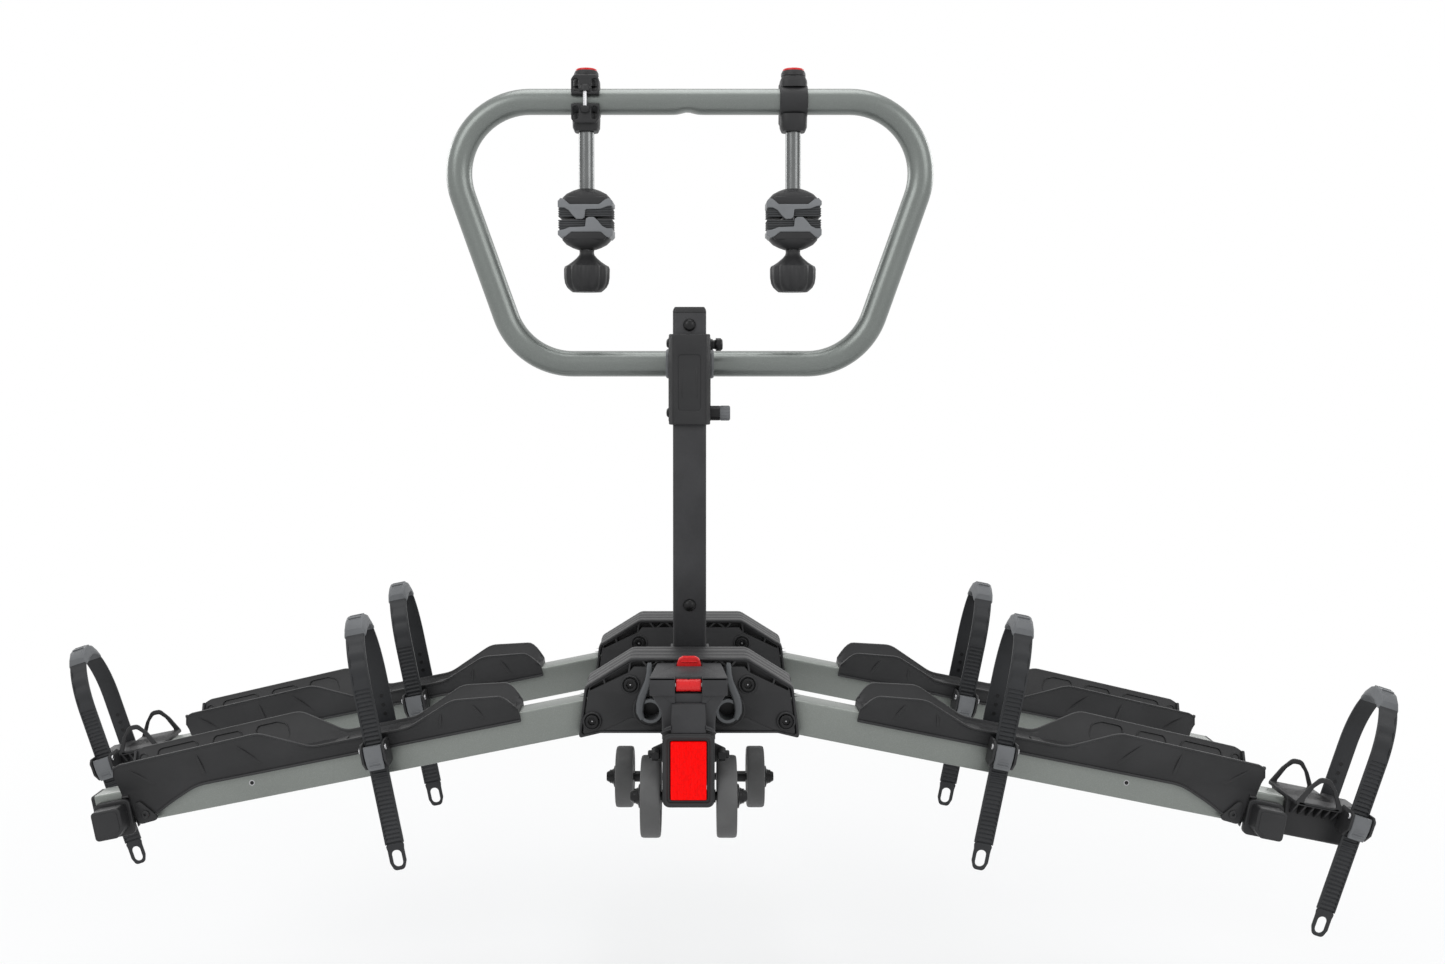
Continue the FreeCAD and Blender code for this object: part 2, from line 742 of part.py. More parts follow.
def inner_straps():
    bands = []
    fittings = []
    for side, hand in ((-1, "left"), (1, "right")):
        for line, row in ((NEAR, "near"), (FAR, "far")):
            spot = (side, line, "strap_u")
            bands.append(strap(f"strap_{row}_{hand}", *spot))
            fittings.append(strap_pad(f"pad_{row}_{hand}", *spot))
            fittings.append(buckle(f"buckle_{row}_{hand}", *spot))
            fittings.append(anchor(f"anchor_{row}_{hand}", *spot))
            buckle_lever(f"lever_{row}_{hand}", *spot)
    gather("inner_straps", bands)
    gather("strap_fittings", fittings)


# ---------------------------------------------------------------- outer cradles
def outer_cradle(hand, side, line):
    """A sliding cradle: its bar in the rail, its moulded base and two arch wings."""
    fit = "(rail_wall + joint_gap)"
    bar = new_body(f"cradle_bar_{hand}")
    outer = centred(f"rail_thick / 2 - {fit}", f"rail_high / 2 - {fit}")
    inner = centred(f"rail_thick / 2 - {fit} - bar_wall", f"rail_high / 2 - {fit} - bar_wall")
    end = "cradle_u + cradle_long"
    add(bar, "YZ_Plane", "rail_end - cradle_bar", f"{end} - cradle_wall - joint_gap", outer, inner)
    shell = new_body(f"cradle_shell_{hand}")
    half = "rail_thick / 2 + cradle_wall"
    high = "rail_high / 2 + cradle_wall"
    add(shell, "YZ_Plane", "cradle_u", end, centred(half, high))
    room = centred("rail_thick / 2 - rail_wall", "rail_high / 2 - rail_wall")
    cut(shell, "YZ_Plane", "cradle_u", f"{end} - cradle_wall", room)
    wing_top = f"{high} - 4"
    add(shell, "XY_Plane", wing_top, high,
        box_loop("cradle_u", "cradle_u + cradle_arch", "-cradle_half", "cradle_half"))
    middle = "cradle_u + cradle_arch / 2"
    shoulder = f"({wing_top} + cradle_peak) / 2 + 6"
    outside = [("cradle_u", wing_top), ("cradle_u + cradle_arch", wing_top),
               ("cradle_u + cradle_arch * 0.8", shoulder), (middle, "cradle_peak"),
               ("cradle_u + cradle_arch * 0.2", shoulder)]
    band = "cradle_band"
    inside = [(f"cradle_u + {band} * 1.5", f"{wing_top} + 4"),
              (f"cradle_u + cradle_arch - {band} * 1.5", f"{wing_top} + 4"),
              (f"cradle_u + cradle_arch * 0.8 - {band}", f"{shoulder} - 2"),
              (middle, f"cradle_peak - {band}"),
              (f"cradle_u + cradle_arch * 0.2 + {band}", f"{shoulder} - 2")]
    for low in ("-cradle_half", "cradle_half - cradle_plate"):
        add(shell, "XZ_Plane", low, f"{low} + cradle_plate", outside, inside)
    on_wing(bar, side, line)
    on_wing(shell, side, line)
    gather(f"cradle_{hand}", [bar, shell])
    spot = (side, line, "cradle_strap_u", "cradle_strap_lean")
    keep(strap(f"strap_outer_{hand}", *spot))
    seat = "rail_thick / 2 + cradle_wall + joint_gap"
    gather(f"strap_fittings_{hand}", [
        strap_pad(f"pad_outer_{hand}", *spot), buckle(f"buckle_outer_{hand}", *spot, seat),
        anchor(f"anchor_outer_{hand}", *spot, seat)])
    buckle_lever(f"lever_outer_{hand}", *spot)


# ---------------------------------------------------------------- mast, slider and hoop
def mast():
    body = new_body("mast")
    outer = box_loop("-mast_size / 2", "mast_size / 2", f"{MAST} - mast_size / 2",
                     f"{MAST} + mast_size / 2")
    wall = "mast_size / 2 - mast_wall"
    inner = box_loop(neg(wall), wall, f"{MAST} - ({wall})", f"{MAST} + {wall}")
    add(body, "XY_Plane", "beam_height / 2 + joint_gap", "mast_top", outer, inner)
    hole = "bolt / 2 + bolt_gap"
    cut(body, "XZ_Plane", f"{MAST} - mast_size", f"{MAST} + mast_size",
        ("0", "stop_high", hole), ("0", "stop_low", hole))
    side_hole = "knob_pin / 2 + joint_gap"
    travel = "(slider_low - stop_low - bolt_head / 2 - joint_gap)"
    cut(body, "YZ_Plane", "0", "mast_size", (MAST, "plunger_z", side_hole),
        (MAST, f"plunger_z - {travel}", side_hole))
    keep(body)
    cap = new_body("mast_cap")
    opening = "mast_size / 2 - mast_wall - 3"
    frame = box_loop(neg(opening), opening, f"{MAST} - ({opening})", f"{MAST} + {opening}")
    add(cap, "XY_Plane", "mast_top + joint_gap", "mast_top + mast_cap_high", outer, frame)
    fit = f"{wall} - joint_gap"
    plug = box_loop(neg(fit), fit, f"{MAST} - ({fit})", f"{MAST} + {fit}")
    add(cap, "XY_Plane", "mast_top - mast_cap_skirt", "mast_top + joint_gap", plug, frame)
    hole = "bolt_head / 2 + joint_gap"
    cut(cap, "XZ_Plane", f"{MAST} - mast_size", f"{MAST} + mast_size", ("0", "stop_high", hole))
    keep(cap)


def slider():
    """The carriage that clamps the hoop's lower tube to the mast."""
    body = new_body("slider")
    inside = "mast_size / 2 + slider_gap"
    outside = f"{inside} + slider_wall"
    front = f"{MAST} - ({inside}) - slider_front"
    back = f"{MAST} + {outside}"
    add(body, "XY_Plane", "slider_low", "slider_high", box_loop(neg(outside), outside, front, back))
    saddle_back = f"{HOOP} + hoop_tube / 2 + slider_wall"
    add(body, "XY_Plane", "hoop_low - saddle_half", "hoop_low + saddle_half",
        box_loop(neg(outside), outside, back, saddle_back))
    cut(body, "YZ_Plane", neg(outside), outside,
        (HOOP, "hoop_low", "hoop_tube / 2 + run_gap"))
    bore = box_loop(neg(inside), inside, f"{MAST} - ({inside})", f"{MAST} + {inside}")
    cut(body, "XY_Plane", "slider_low", "slider_high", bore)
    cut(body, "XZ_Plane", front, f"{front} + slider_panel_deep",
        box_loop("-slider_panel_half", "slider_panel_half", "slider_panel_low",
                 "slider_panel_high"))
    hole = "knob_pin / 2 + run_gap"
    cut(body, "YZ_Plane", "0", outside, (MAST, "plunger_z", hole), (MAST, "lock_knob_z", hole))
    keep(body)


CHEEK = "mast_size / 2 + slider_gap + slider_wall"


def side_knobs():
    """The sprung plunger and the clamp knob on the slider's right cheek."""
    tip = "mast_size / 2 + slider_gap"
    pin = "knob_pin / 2"
    seat = f"{CHEEK} + joint_gap"
    base, crown, end = "plunger_knob / 2", "plunger_knob / 2 - 2", f"{CHEEK} + plunger_long"
    plunger = turned("plunger", [
        ("0", tip), (pin, tip), (pin, seat), (base, seat), (base, f"{CHEEK} + 6"), (crown, end),
        ("0", end)])
    keep(place(plunger, "0", MAST, "plunger_z", ALONG_X))
    wide, waist, end = "lock_knob / 2", "lock_knob / 2 - 1.5", f"{CHEEK} + lock_knob_long"
    low, high = f"{CHEEK} + lock_knob_long / 2 - 1", f"{CHEEK} + lock_knob_long / 2 + 1"
    knob = turned("slider_knob", [
        ("0", tip), (pin, tip), (pin, seat), (wide, seat), (wide, low), (waist, low),
        (waist, high), (wide, high), (wide, end), ("0", end)])
    keep(place(knob, "0", MAST, "lock_knob_z", ALONG_X))


def hoop():
    y = size(HOOP)
    points = [Vector(size(x), y, size(z)) for x, z in (
        ("-hoop_low_half", "hoop_low"), ("-hoop_high_half", "hoop_high"),
        ("hoop_high_half", "hoop_high"), ("hoop_low_half", "hoop_low"))]
    path = rounded_path(points, [size("hoop_bend")] * 4, closed=True)
    top = path.Edges[2].CenterOfMass
    skins = []
    for radius in (size("hoop_tube / 2"), size("hoop_tube / 2 - hoop_wall")):
        ring = Part.Wire([Part.makeCircle(radius, Vector(0, top.y, top.z), Vector(1, 0, 0))])
        skins.append(Part.Wire(path.Edges).makePipeShell([ring], True, True))
    tube = doc.addObject("Part::Feature", "hoop_tube")
    tube.Shape = skins[0].cut(skins[1])
    keep(tube, "hoop")


# ---------------------------------------------------------------- hanging arms
def arm_clamp(hand, side):
    """A ring round the hoop's top tube with a boss above and one below, and its screw."""
    x = f"{side} * arm_x"
    facing_back = side > 0
    body = new_body(f"arm_ring_{hand}")
    inner = "hoop_tube / 2 + run_gap"
    outer = f"{inner} + arm_ring_wall"
    low = f"{x} - arm_ring_half"
    high = f"{x} + arm_ring_half"
    add(body, "YZ_Plane", low, high, (HOOP, "hoop_high", outer))
    for bottom, top in (("arm_boss_low", "hoop_high - hoop_tube / 2"),
                        ("hoop_high + hoop_tube / 2", "arm_boss_high")):
        add(body, "XY_Plane", bottom, top, (x, HOOP, "arm_boss"))
    screw_y = f"{HOOP} {'+' if facing_back else '-'} ({outer} + arm_screw / 2)"
    add(body, "XY_Plane", "hoop_high - arm_screw_grip", "hoop_high + arm_screw_grip",
        (x, screw_y, "arm_screw / 2 + arm_screw_wall"))
    cut(body, "YZ_Plane", f"{low} - 5", f"{high} + 5", (HOOP, "hoop_high", inner))
    slit = "arm_slit / 2"
    span = (HOOP, f"{HOOP} + arm_boss * 2") if facing_back else (f"{HOOP} - arm_boss * 2", HOOP)
    cut(body, "XZ_Plane", *span, box_loop(f"{low} - 5", f"{high} + 5", f"hoop_high - {slit}",
                                          f"hoop_high + {slit}"))
    cut(body, "XY_Plane", "hoop_high - arm_screw_grip - 1", "hoop_high + arm_screw_grip + 1",
        (x, screw_y, "arm_screw / 2 + run_gap"))
    head = "arm_screw / 2 + 2"
    grip = "arm_screw_grip"
    end = "arm_screw_grip + arm_screw_head"
    screw = turned(f"arm_screw_{hand}", [
        ("0", neg(end)), (head, neg(end)), (head, neg(grip)), ("arm_screw / 2", neg(grip)),
        ("arm_screw / 2", grip), (head, grip), (head, end), ("0", end)])
    place(screw, x, screw_y, "hoop_high")
    gather(f"arm_clamp_{hand}", [body, screw])
    knob = turned(f"arm_knob_{hand}", [
        ("0", "joint_gap"), ("arm_boss", "joint_gap"), ("arm_boss", "arm_knob_high * 0.7"),
        ("arm_boss - 4", "arm_knob_high"), ("0", "arm_knob_high")])
    keep(place(knob, x, HOOP, "arm_boss_high"))


def jaw(label, low, high, groove, rod_hole):
    """One clamp jaw: a chamfered block with two grip grooves along Y."""
    body = new_body(label)
    near_mouth = high if groove == high else low
    outline = [("-jaw_half_x", "-jaw_half_y * 0.5"), ("-jaw_half_x * 0.6", "-jaw_half_y"),
               ("jaw_half_x * 0.6", "-jaw_half_y"), ("jaw_half_x", "-jaw_half_y * 0.5"),
               ("jaw_half_x", "jaw_half_y * 0.5"), ("jaw_half_x * 0.6", "jaw_half_y"),
               ("-jaw_half_x * 0.6", "jaw_half_y"), ("-jaw_half_x", "jaw_half_y * 0.5")]
    add(body, "XY_Plane", low, high, outline)
    for side in (-1, 1):
        cut(body, "XZ_Plane", "-jaw_half_y * 2", "jaw_half_y * 2",
            (f"{side} * jaw_grip_x", near_mouth, "jaw_grip"))
    if rod_hole:
        cut(body, "XY_Plane", low, high, ("0", "0", "clamp_rod / 2 + run_gap"))
    return body


def hanging_arm(hand, side):
    x = f"{side} * arm_x"
    tube = new_body(f"arm_tube_{hand}")
    radius = "arm_tube / 2"
    add(tube, "XY_Plane", "jaw_top + joint_gap", "arm_boss_low - joint_gap",
        ("0", "0", radius), ("0", "0", f"{radius} - arm_tube_wall"))
    upper = jaw(f"upper_jaw_{hand}", "jaw_mid + joint_gap", "jaw_top", "jaw_mid + joint_gap", False)
    rod = new_body(f"clamp_rod_{hand}")
    add(rod, "XY_Plane", "grip_knob_low + 6", "jaw_mid", ("0", "0", "clamp_rod / 2"))
    for piece in (tube, upper, rod):
        place(piece, x, HOOP, "0")
    gather(f"hanger_{hand}", [tube, upper, rod])
    lower = jaw(f"lower_jaw_{hand}", "jaw_low", "jaw_mid - joint_gap", "jaw_mid - joint_gap", True)
    keep(place(lower, x, HOOP, "0"))
    knob = turned(f"clamp_knob_{hand}", [
        ("clamp_rod / 2 + run_gap", "grip_knob_low"), ("grip_knob / 2 - 5", "grip_knob_low"),
        ("grip_knob / 2", "grip_knob_low + 6"), ("grip_knob / 2", "grip_knob_high - 6"),
        ("grip_knob / 2 - 6", "grip_knob_high"), ("grip_neck / 2", "grip_knob_high + 8"),
        ("grip_neck / 2", "jaw_low - joint_gap"),
        ("clamp_rod / 2 + run_gap", "jaw_low - joint_gap")])
    keep(place(knob, x, HOOP, "0"))


# ---------------------------------------------------------------- latch head and reflector
def latch_head():
    body = new_body("latch_head")
    back = f"{NEAR} - house_depth / 2 - joint_gap"
    front = f"{NEAR} - head_front"
    add(body, "XY_Plane", "head_low", "head_high", [
        ("-head_front_half", front), ("head_front_half", front), ("head_rear_half", back),
        ("-head_rear_half", back)])
    neck = box_loop("-neck_half", "neck_half", f"{NEAR} - neck_front", f"{NEAR} - neck_back")
    add(body, "XY_Plane", "frame_half_z + joint_gap", "head_low", neck)
    foot = box_loop("-neck_half", "neck_half", f"{NEAR} - frame_back + joint_gap",
                    f"{NEAR} - neck_back")
    add(body, "XY_Plane", "beam_height / 2 + joint_gap", "frame_half_z + joint_gap", foot)
    slot = "release_half + release_gap"
    cut(body, "XY_Plane", "head_low + 2", "head_high",
        box_loop(neg(slot), slot, f"{front} - 1", f"{back} - plate"))
    cut(body, "YZ_Plane", "-neck_half", "neck_half",
        (f"{NEAR} - release_pin_back", "release_pin_z", "release_pin / 2 + run_gap"))
    keep(body)
    lever = new_body("release_lever")
    pivot = f"{NEAR} - release_pin_back"
    add(lever, "YZ_Plane", "-release_half", "release_half", (pivot, "release_pin_z", "7.5"))
    tab_back = f"{back} - plate - release_gap - 3"
    arm = [(pivot, "release_pin_z - 3"), (tab_back, "release_pin_z - 3"),
           (tab_back, "head_high + 10"), (f"{tab_back} - 7", "head_high + 10"),
           (f"{tab_back} - 9", "release_pin_z + 4"), (pivot, "release_pin_z + 4")]
    add(lever, "YZ_Plane", "-release_half", "release_half", arm)
    cut(lever, "YZ_Plane", "-release_half", "release_half",
        (pivot, "release_pin_z", "release_pin / 2 + run_gap"))
    keep(lever)


def reflector():
    frame = new_body("reflector_frame")
    front = f"{NEAR} - frame_front"
    back = f"{NEAR} - frame_back"
    add(frame, "XZ_Plane", front, back, centred("frame_half_x", "frame_half_z"))
    cut(frame, "XZ_Plane", front, f"{front} + panel_recess + 1",
        centred("panel_half_x", "panel_half_z"))
    fit = "joint_gap"
    cut(frame, "XZ_Plane", f"{NEAR} - beam_front - {fit}", back,
        centred(f"beam_width / 2 + {fit}", f"beam_height / 2 + {fit}"))
    keep(frame)
    panel = new_body("reflector")
    add(panel, "XZ_Plane", f"{front} + 1", f"{front} + panel_recess + 0.7",
        centred("panel_half_x - joint_gap", "panel_half_z - joint_gap"))
    keep(panel)


# ---------------------------------------------------------------- wheels and brackets
NEAR_AXLE = f"{NEAR} - near_wheel_front"
FAR_AXLE = f"{NEAR} + far_wheel_back"


def roller(label, side, kind, y):
    """A moulded wheel with a hub that stands proud on both faces."""
    x = f"{side} * {kind}_wheel_x"
    half = f"{kind}_wheel_width / 2"
    rim = f"{kind}_wheel / 2"
    bore = f"{kind}_axle / 2 + run_gap"
    wheel = turned(label, [
        (bore, neg(half)), ("13", neg(half)), ("15", f"-({half}) + 3"),
        (f"{rim} - 9", f"-({half}) + 3"), (f"{rim} - 7", neg(half)), (f"{rim} - 2", neg(half)),
        (rim, f"-({half}) + 3"), (rim, f"{half} - 3"), (f"{rim} - 2", half),
        (f"{rim} - 7", half), (f"{rim} - 9", f"{half} - 3"), ("15", f"{half} - 3"),
        ("13", half), (bore, half)])
    return keep(place(wheel, x, y, f"{kind}_wheel_z", ALONG_X))


def wheel_sets():
    axles = []
    caps = []
    for kind, y in (("near", NEAR_AXLE), ("far", FAR_AXLE)):
        end = f"{kind}_wheel_x + {kind}_wheel_width / 2 + 4"
        axle = new_body(f"{kind}_axle_rod")
        add(axle, "YZ_Plane", neg(end), end, (y, f"{kind}_wheel_z", f"{kind}_axle / 2"))
        axles.append(axle)
        for side, hand in ((-1, "left"), (1, "right")):
            roller(f"wheel_{kind}_{hand}", side, kind, y)
            face = f"{kind}_wheel_width / 2 + joint_gap"
            bore = f"{kind}_axle / 2 + joint_gap / 2"
            cap = turned(f"{kind}_cap_{hand}", [
                (bore, face), ("axle_cap / 2", face), ("axle_cap / 2", f"{face} + 2"),
                ("axle_cap / 4", f"{face} + axle_cap_long"), ("0", f"{face} + axle_cap_long"),
                ("0", f"{kind}_wheel_width / 2 + 4.3"), (bore, f"{kind}_wheel_width / 2 + 4.3")])
            turn = ALONG_X if side > 0 else ALONG_MINUS_X
            caps.append(place(cap, f"{side} * {kind}_wheel_x", y, f"{kind}_wheel_z", turn))
    gather("wheel_axles", axles)
    gather("axle_caps", caps)


def bracket(label, side, outline, hole, more=()):
    """A steel side plate against the main beam."""
    body = new_body(label)
    low = "beam_width / 2 + joint_gap"
    levels = (low, f"{low} + plate") if side > 0 else (f"-({low}) - plate", neg(low))
    add(body, "YZ_Plane", *levels, outline)
    cut(body, "YZ_Plane", "-near_wheel", "near_wheel", hole, *more)
    return body


def brackets():
    plates = []
    for side, hand in ((-1, "left"), (1, "right")):
        outline = [(f"{NEAR_AXLE} - 10", "near_wheel_z - 10"),
                   (f"{NEAR_AXLE} + 10", "near_wheel_z - 10"), (f"{NEAR_AXLE} + 42", "20"),
                   (f"{NEAR_AXLE} - 18", "20")]
        plates.append(bracket(f"near_bracket_{hand}", side, outline,
                              (NEAR_AXLE, "near_wheel_z", "near_axle / 2 + joint_gap / 2")))
        outline = [(f"{FAR_AXLE} - 9", "far_wheel_z - 9"), (f"{FAR_AXLE} + 9", "far_wheel_z - 9"),
                   (f"{FAR_AXLE} + 26", "12"), (f"{FAR_AXLE} - 26", "12")]
        plates.append(bracket(f"far_bracket_{hand}", side, outline,
                              (FAR_AXLE, "far_wheel_z", "far_axle / 2 + joint_gap / 2")))
        outline = box_loop(f"{MAST} - mast_foot_half", f"{MAST} + mast_foot_half",
                           "-beam_height / 2 + 8", "mast_foot_top")
        bolts = [(MAST, "10", "bolt / 2 + bolt_gap"), (MAST, "mast_foot_top - 24",
                                                      "bolt / 2 + bolt_gap")]
        plates.append(bracket(f"mast_ear_{hand}", side, outline, bolts[0], bolts[1:]))
    gather("steel_brackets", plates)


# ---------------------------------------------------------------- bolts
def housing_bolt(label, x, z, line):
    """A flanged bolt right through a housing, with its nut on the back."""
    grip = "house_depth / 2"
    bolt = turned(label, [
        ("0", neg(grip)), ("bolt / 2", neg(grip)), ("bolt / 2", f"{grip} + joint_gap"),
        ("bolt_head / 2", f"{grip} + joint_gap"),
        ("bolt_head / 2", f"{grip} + joint_gap + bolt_head_high"),
        ("0", f"{grip} + joint_gap + bolt_head_high")])
    nut = turned(f"{label}_nut", [
        ("bolt / 2 + run_gap", f"-({grip}) - 6"), ("bolt * 0.8", f"-({grip}) - 6"),
        ("bolt * 0.8", f"-({grip}) - joint_gap"),
        ("bolt / 2 + run_gap", f"-({grip}) - joint_gap")])
    return [place(bolt, x, line, z, ALONG_MINUS_Y), place(nut, x, line, z, ALONG_MINUS_Y)]


def rack_bolts():
    pieces = []
    for line, row in ((NEAR, "near"), (FAR, "far")):
        for side, hand in ((-1, "left"), (1, "right")):
            pieces += housing_bolt(f"outer_bolt_{row}_{hand}", f"{side} * ({BOLT_X})", BOLT_Z, line)
            pieces += housing_bolt(f"inner_bolt_{row}_{hand}", f"{side} * inner_bolt_x",
                                   "inner_bolt_z", line)
    grip = "mast_size / 2"
    for z in ("stop_high", "stop_low"):
        stop = turned(f"{z}_bolt", [
            ("0", f"-({grip}) - 4"), ("bolt_head / 2", f"-({grip}) - 4"),
            ("bolt_head / 2", f"-({grip})"), ("bolt / 2", f"-({grip})"), ("bolt / 2", grip),
            ("bolt_head / 2", grip), ("bolt_head / 2", f"{grip} + 2.5"),
            ("bolt_head / 4", f"{grip} + 5"), ("0", f"{grip} + 5")])
        pieces.append(place(stop, "0", MAST, z, ALONG_MINUS_Y))
    across = "beam_width / 2 + joint_gap + plate"
    for z in ("10", "mast_foot_top - 24"):
        for side, hand in ((-1, "left"), (1, "right")):
            cap = turned(f"foot_bolt_{hand}_{z[:2]}", [
                ("0", f"{across} - plate"), ("bolt / 2", f"{across} - plate"),
                ("bolt / 2", across), ("bolt_head / 2", across),
                ("bolt_head / 2", f"{across} + bolt_head_high"),
                ("0", f"{across} + bolt_head_high")])
            turn = ALONG_X if side > 0 else ALONG_MINUS_X
            pieces.append(place(cap, "0", MAST, z, turn))
    pin = new_body("release_pin_rod")
    add(pin, "YZ_Plane", "-neck_half + 2", "neck_half - 2",
        (f"{NEAR} - release_pin_back", "release_pin_z", "release_pin / 2"))
    pieces.append(pin)
    gather("rack_bolts", pieces)


def check(thing):
    if any(word in thing.State for word in ("Invalid", "Error")):
        raise RuntimeError(f"{thing.Label} failed to build")


def main():
    hitch_shank()
    pivot_yoke()
    pivot_bolt()
    main_beam()
    side_tubes()
    housings()
    wings()
    inner_straps()
    outer_cradle("right", 1, NEAR)
    outer_cradle("left", -1, FAR)
    mast()
    slider()
    side_knobs()
    hoop()
    for hand, side in (("left", -1), ("right", 1)):
        arm_clamp(hand, side)
        hanging_arm(hand, side)
    latch_head()
    reflector()
    wheel_sets()
    brackets()
    rack_bolts()
    doc.recompute()
    for thing in doc.Objects:
        check(thing)
    for node in nodes:
        if node.Shape.isNull() or not node.Shape.isValid():
            raise RuntimeError(f"{node.Label} has no valid shape")
    for node in nodes:
        node.Shape.exportStep(f"parts/{node.Label}.step")
    print(len(nodes), "pieces written")


main()
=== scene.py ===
"""Finish of a two-bike platform rack: detailed pieces and materials round its fixed frame."""
import json
import math

import bmesh
import bpy
from bpy.props import FloatProperty, FloatVectorProperty, IntProperty, PointerProperty
from mathutils import Matrix, Vector


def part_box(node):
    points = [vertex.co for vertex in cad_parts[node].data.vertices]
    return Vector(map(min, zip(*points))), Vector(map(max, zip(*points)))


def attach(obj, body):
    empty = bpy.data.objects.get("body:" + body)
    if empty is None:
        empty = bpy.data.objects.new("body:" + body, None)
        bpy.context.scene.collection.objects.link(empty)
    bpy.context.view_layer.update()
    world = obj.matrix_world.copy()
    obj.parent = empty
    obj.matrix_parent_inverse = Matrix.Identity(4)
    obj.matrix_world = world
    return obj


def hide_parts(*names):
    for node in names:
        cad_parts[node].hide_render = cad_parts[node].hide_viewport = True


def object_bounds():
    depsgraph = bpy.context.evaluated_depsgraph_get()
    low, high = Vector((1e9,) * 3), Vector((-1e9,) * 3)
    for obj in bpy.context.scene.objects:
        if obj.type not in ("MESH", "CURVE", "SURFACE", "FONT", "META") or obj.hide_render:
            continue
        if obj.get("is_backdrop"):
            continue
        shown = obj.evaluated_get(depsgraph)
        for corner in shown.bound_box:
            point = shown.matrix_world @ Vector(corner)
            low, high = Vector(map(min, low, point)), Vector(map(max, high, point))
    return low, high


bl_info = {
    "name": "Platform Bike Rack",
    "version": (1, 0, 0),
    "blender": (4, 5, 0),
    "location": "View3D > Sidebar > Rack",
    "description": "Builds the pieces and finishes of a two-bike platform rack",
    "category": "Object",
}

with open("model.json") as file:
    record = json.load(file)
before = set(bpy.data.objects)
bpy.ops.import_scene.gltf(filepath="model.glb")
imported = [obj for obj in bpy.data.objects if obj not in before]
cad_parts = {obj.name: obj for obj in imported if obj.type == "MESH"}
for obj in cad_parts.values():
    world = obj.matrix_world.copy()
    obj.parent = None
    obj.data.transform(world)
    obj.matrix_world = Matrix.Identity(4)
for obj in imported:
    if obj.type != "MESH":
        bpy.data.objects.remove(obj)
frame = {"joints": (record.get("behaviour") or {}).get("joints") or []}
MM = 0.001
SIDES = (("left", -1), ("right", 1))
ROWS = ("near", "far")


# ------------------------------------------------------------------ frame helpers
def box_mm(node):
    """Lowest and highest corner of a frame node, in millimetres."""
    low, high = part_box(node)
    return low / MM, high / MM


def middle(node):
    """Middle of a frame node's box, in millimetres."""
    low, high = box_mm(node)
    return (low + high) / 2


def low_y(node):
    """The near side of a frame node's box."""
    return box_mm(node)[0].y


def joint(name):
    """A joint of the frame, by name."""
    return next(j for j in frame["joints"] if j["name"] == name)


def droop():
    """Angle by which the wings slope down and out, read from a cradle's slide."""
    axis = joint("cradle_right_slide")["axis"]
    return math.atan2(-axis[2], axis[0])


DATUM = 80.0     # from a rail's inner end to the datum of its wing


def wing(row, hand):
    """Matrix from a wing's frame (X out along the rail, Z off it) to the row frame."""
    low, high = box_mm(f"rail_{row}_{hand}")
    angle = droop()
    wide, tall = high.x - low.x, high.z - low.z
    length = (wide * math.cos(angle) - tall * math.sin(angle)) / math.cos(2 * angle)
    side = -1 if hand == "left" else 1
    along = Vector((side * math.cos(angle), 0, -math.sin(angle)))
    across = Vector((0, side, 0))
    off = along.cross(across)
    start = (low + high) / 2 - along * (length / 2 - DATUM)
    turn = Matrix((along, across, off)).transposed().to_4x4()
    return Matrix.Translation(start) @ turn


# ------------------------------------------------------------------ mesh tools, in millimetres
FRONT = Matrix(((1, 0, 0, 0), (0, 0, -1, 0), (0, 1, 0, 0), (0, 0, 0, 1)))      # z to -Y
SIDE = Matrix(((0, 0, 1, 0), (1, 0, 0, 0), (0, 1, 0, 0), (0, 0, 0, 1)))        # z to +X


def shift(x=0.0, y=0.0, z=0.0):
    """A move."""
    return Matrix.Translation((x, y, z))


def spin(angle, axis):
    """A turn by degrees about an axis."""
    return Matrix.Rotation(math.radians(angle), 4, axis)


def rounded(points, radius, steps=4):
    """A closed outline with its corners rounded; radius is one number or one for each."""
    radii = radius if isinstance(radius, (list, tuple)) else [radius] * len(points)
    out = []
    count = len(points)
    for i, point in enumerate(points):
        here = Vector(point)
        before = Vector(points[i - 1]) - here
        after = Vector(points[(i + 1) % count]) - here
        half = before.angle(after) / 2
        reach = min(radii[i] / math.tan(half), before.length * 0.48, after.length * 0.48)
        if reach < 1e-4 or half > math.radians(88.5):
            out.append(here)
            continue
        before.normalize()
        after.normalize()
        centre = here + (before + after).normalized() * (reach * math.tan(half) / math.sin(half))
        start = here + before * reach - centre
        end = here + after * reach - centre
        turn = start.angle(end)
        for k in range(steps + 1):
            t = k / steps
            point = start * math.sin((1 - t) * turn) + end * math.sin(t * turn)
            out.append(centre + point / math.sin(turn))
    return out


def rectangle(width, height, x=0.0, y=0.0):
    """Corners of a rectangle about a point."""
    w, h = width / 2, height / 2
    return [(x - w, y - h), (x + w, y - h), (x + w, y + h), (x - w, y + h)]


def circle(radius, x=0.0, y=0.0, steps=32, phase=0.0):
    """Points of a circle about a point."""
    turn = 2 * math.pi / steps
    return [Vector((x + radius * math.cos(phase + turn * i), y + radius * math.sin(phase + turn * i)))
            for i in range(steps)]


def mirrored(points):
    """A closed outline from its right half, given from the bottom up."""
    return list(points) + [(-x, y) for x, y in reversed(points)]


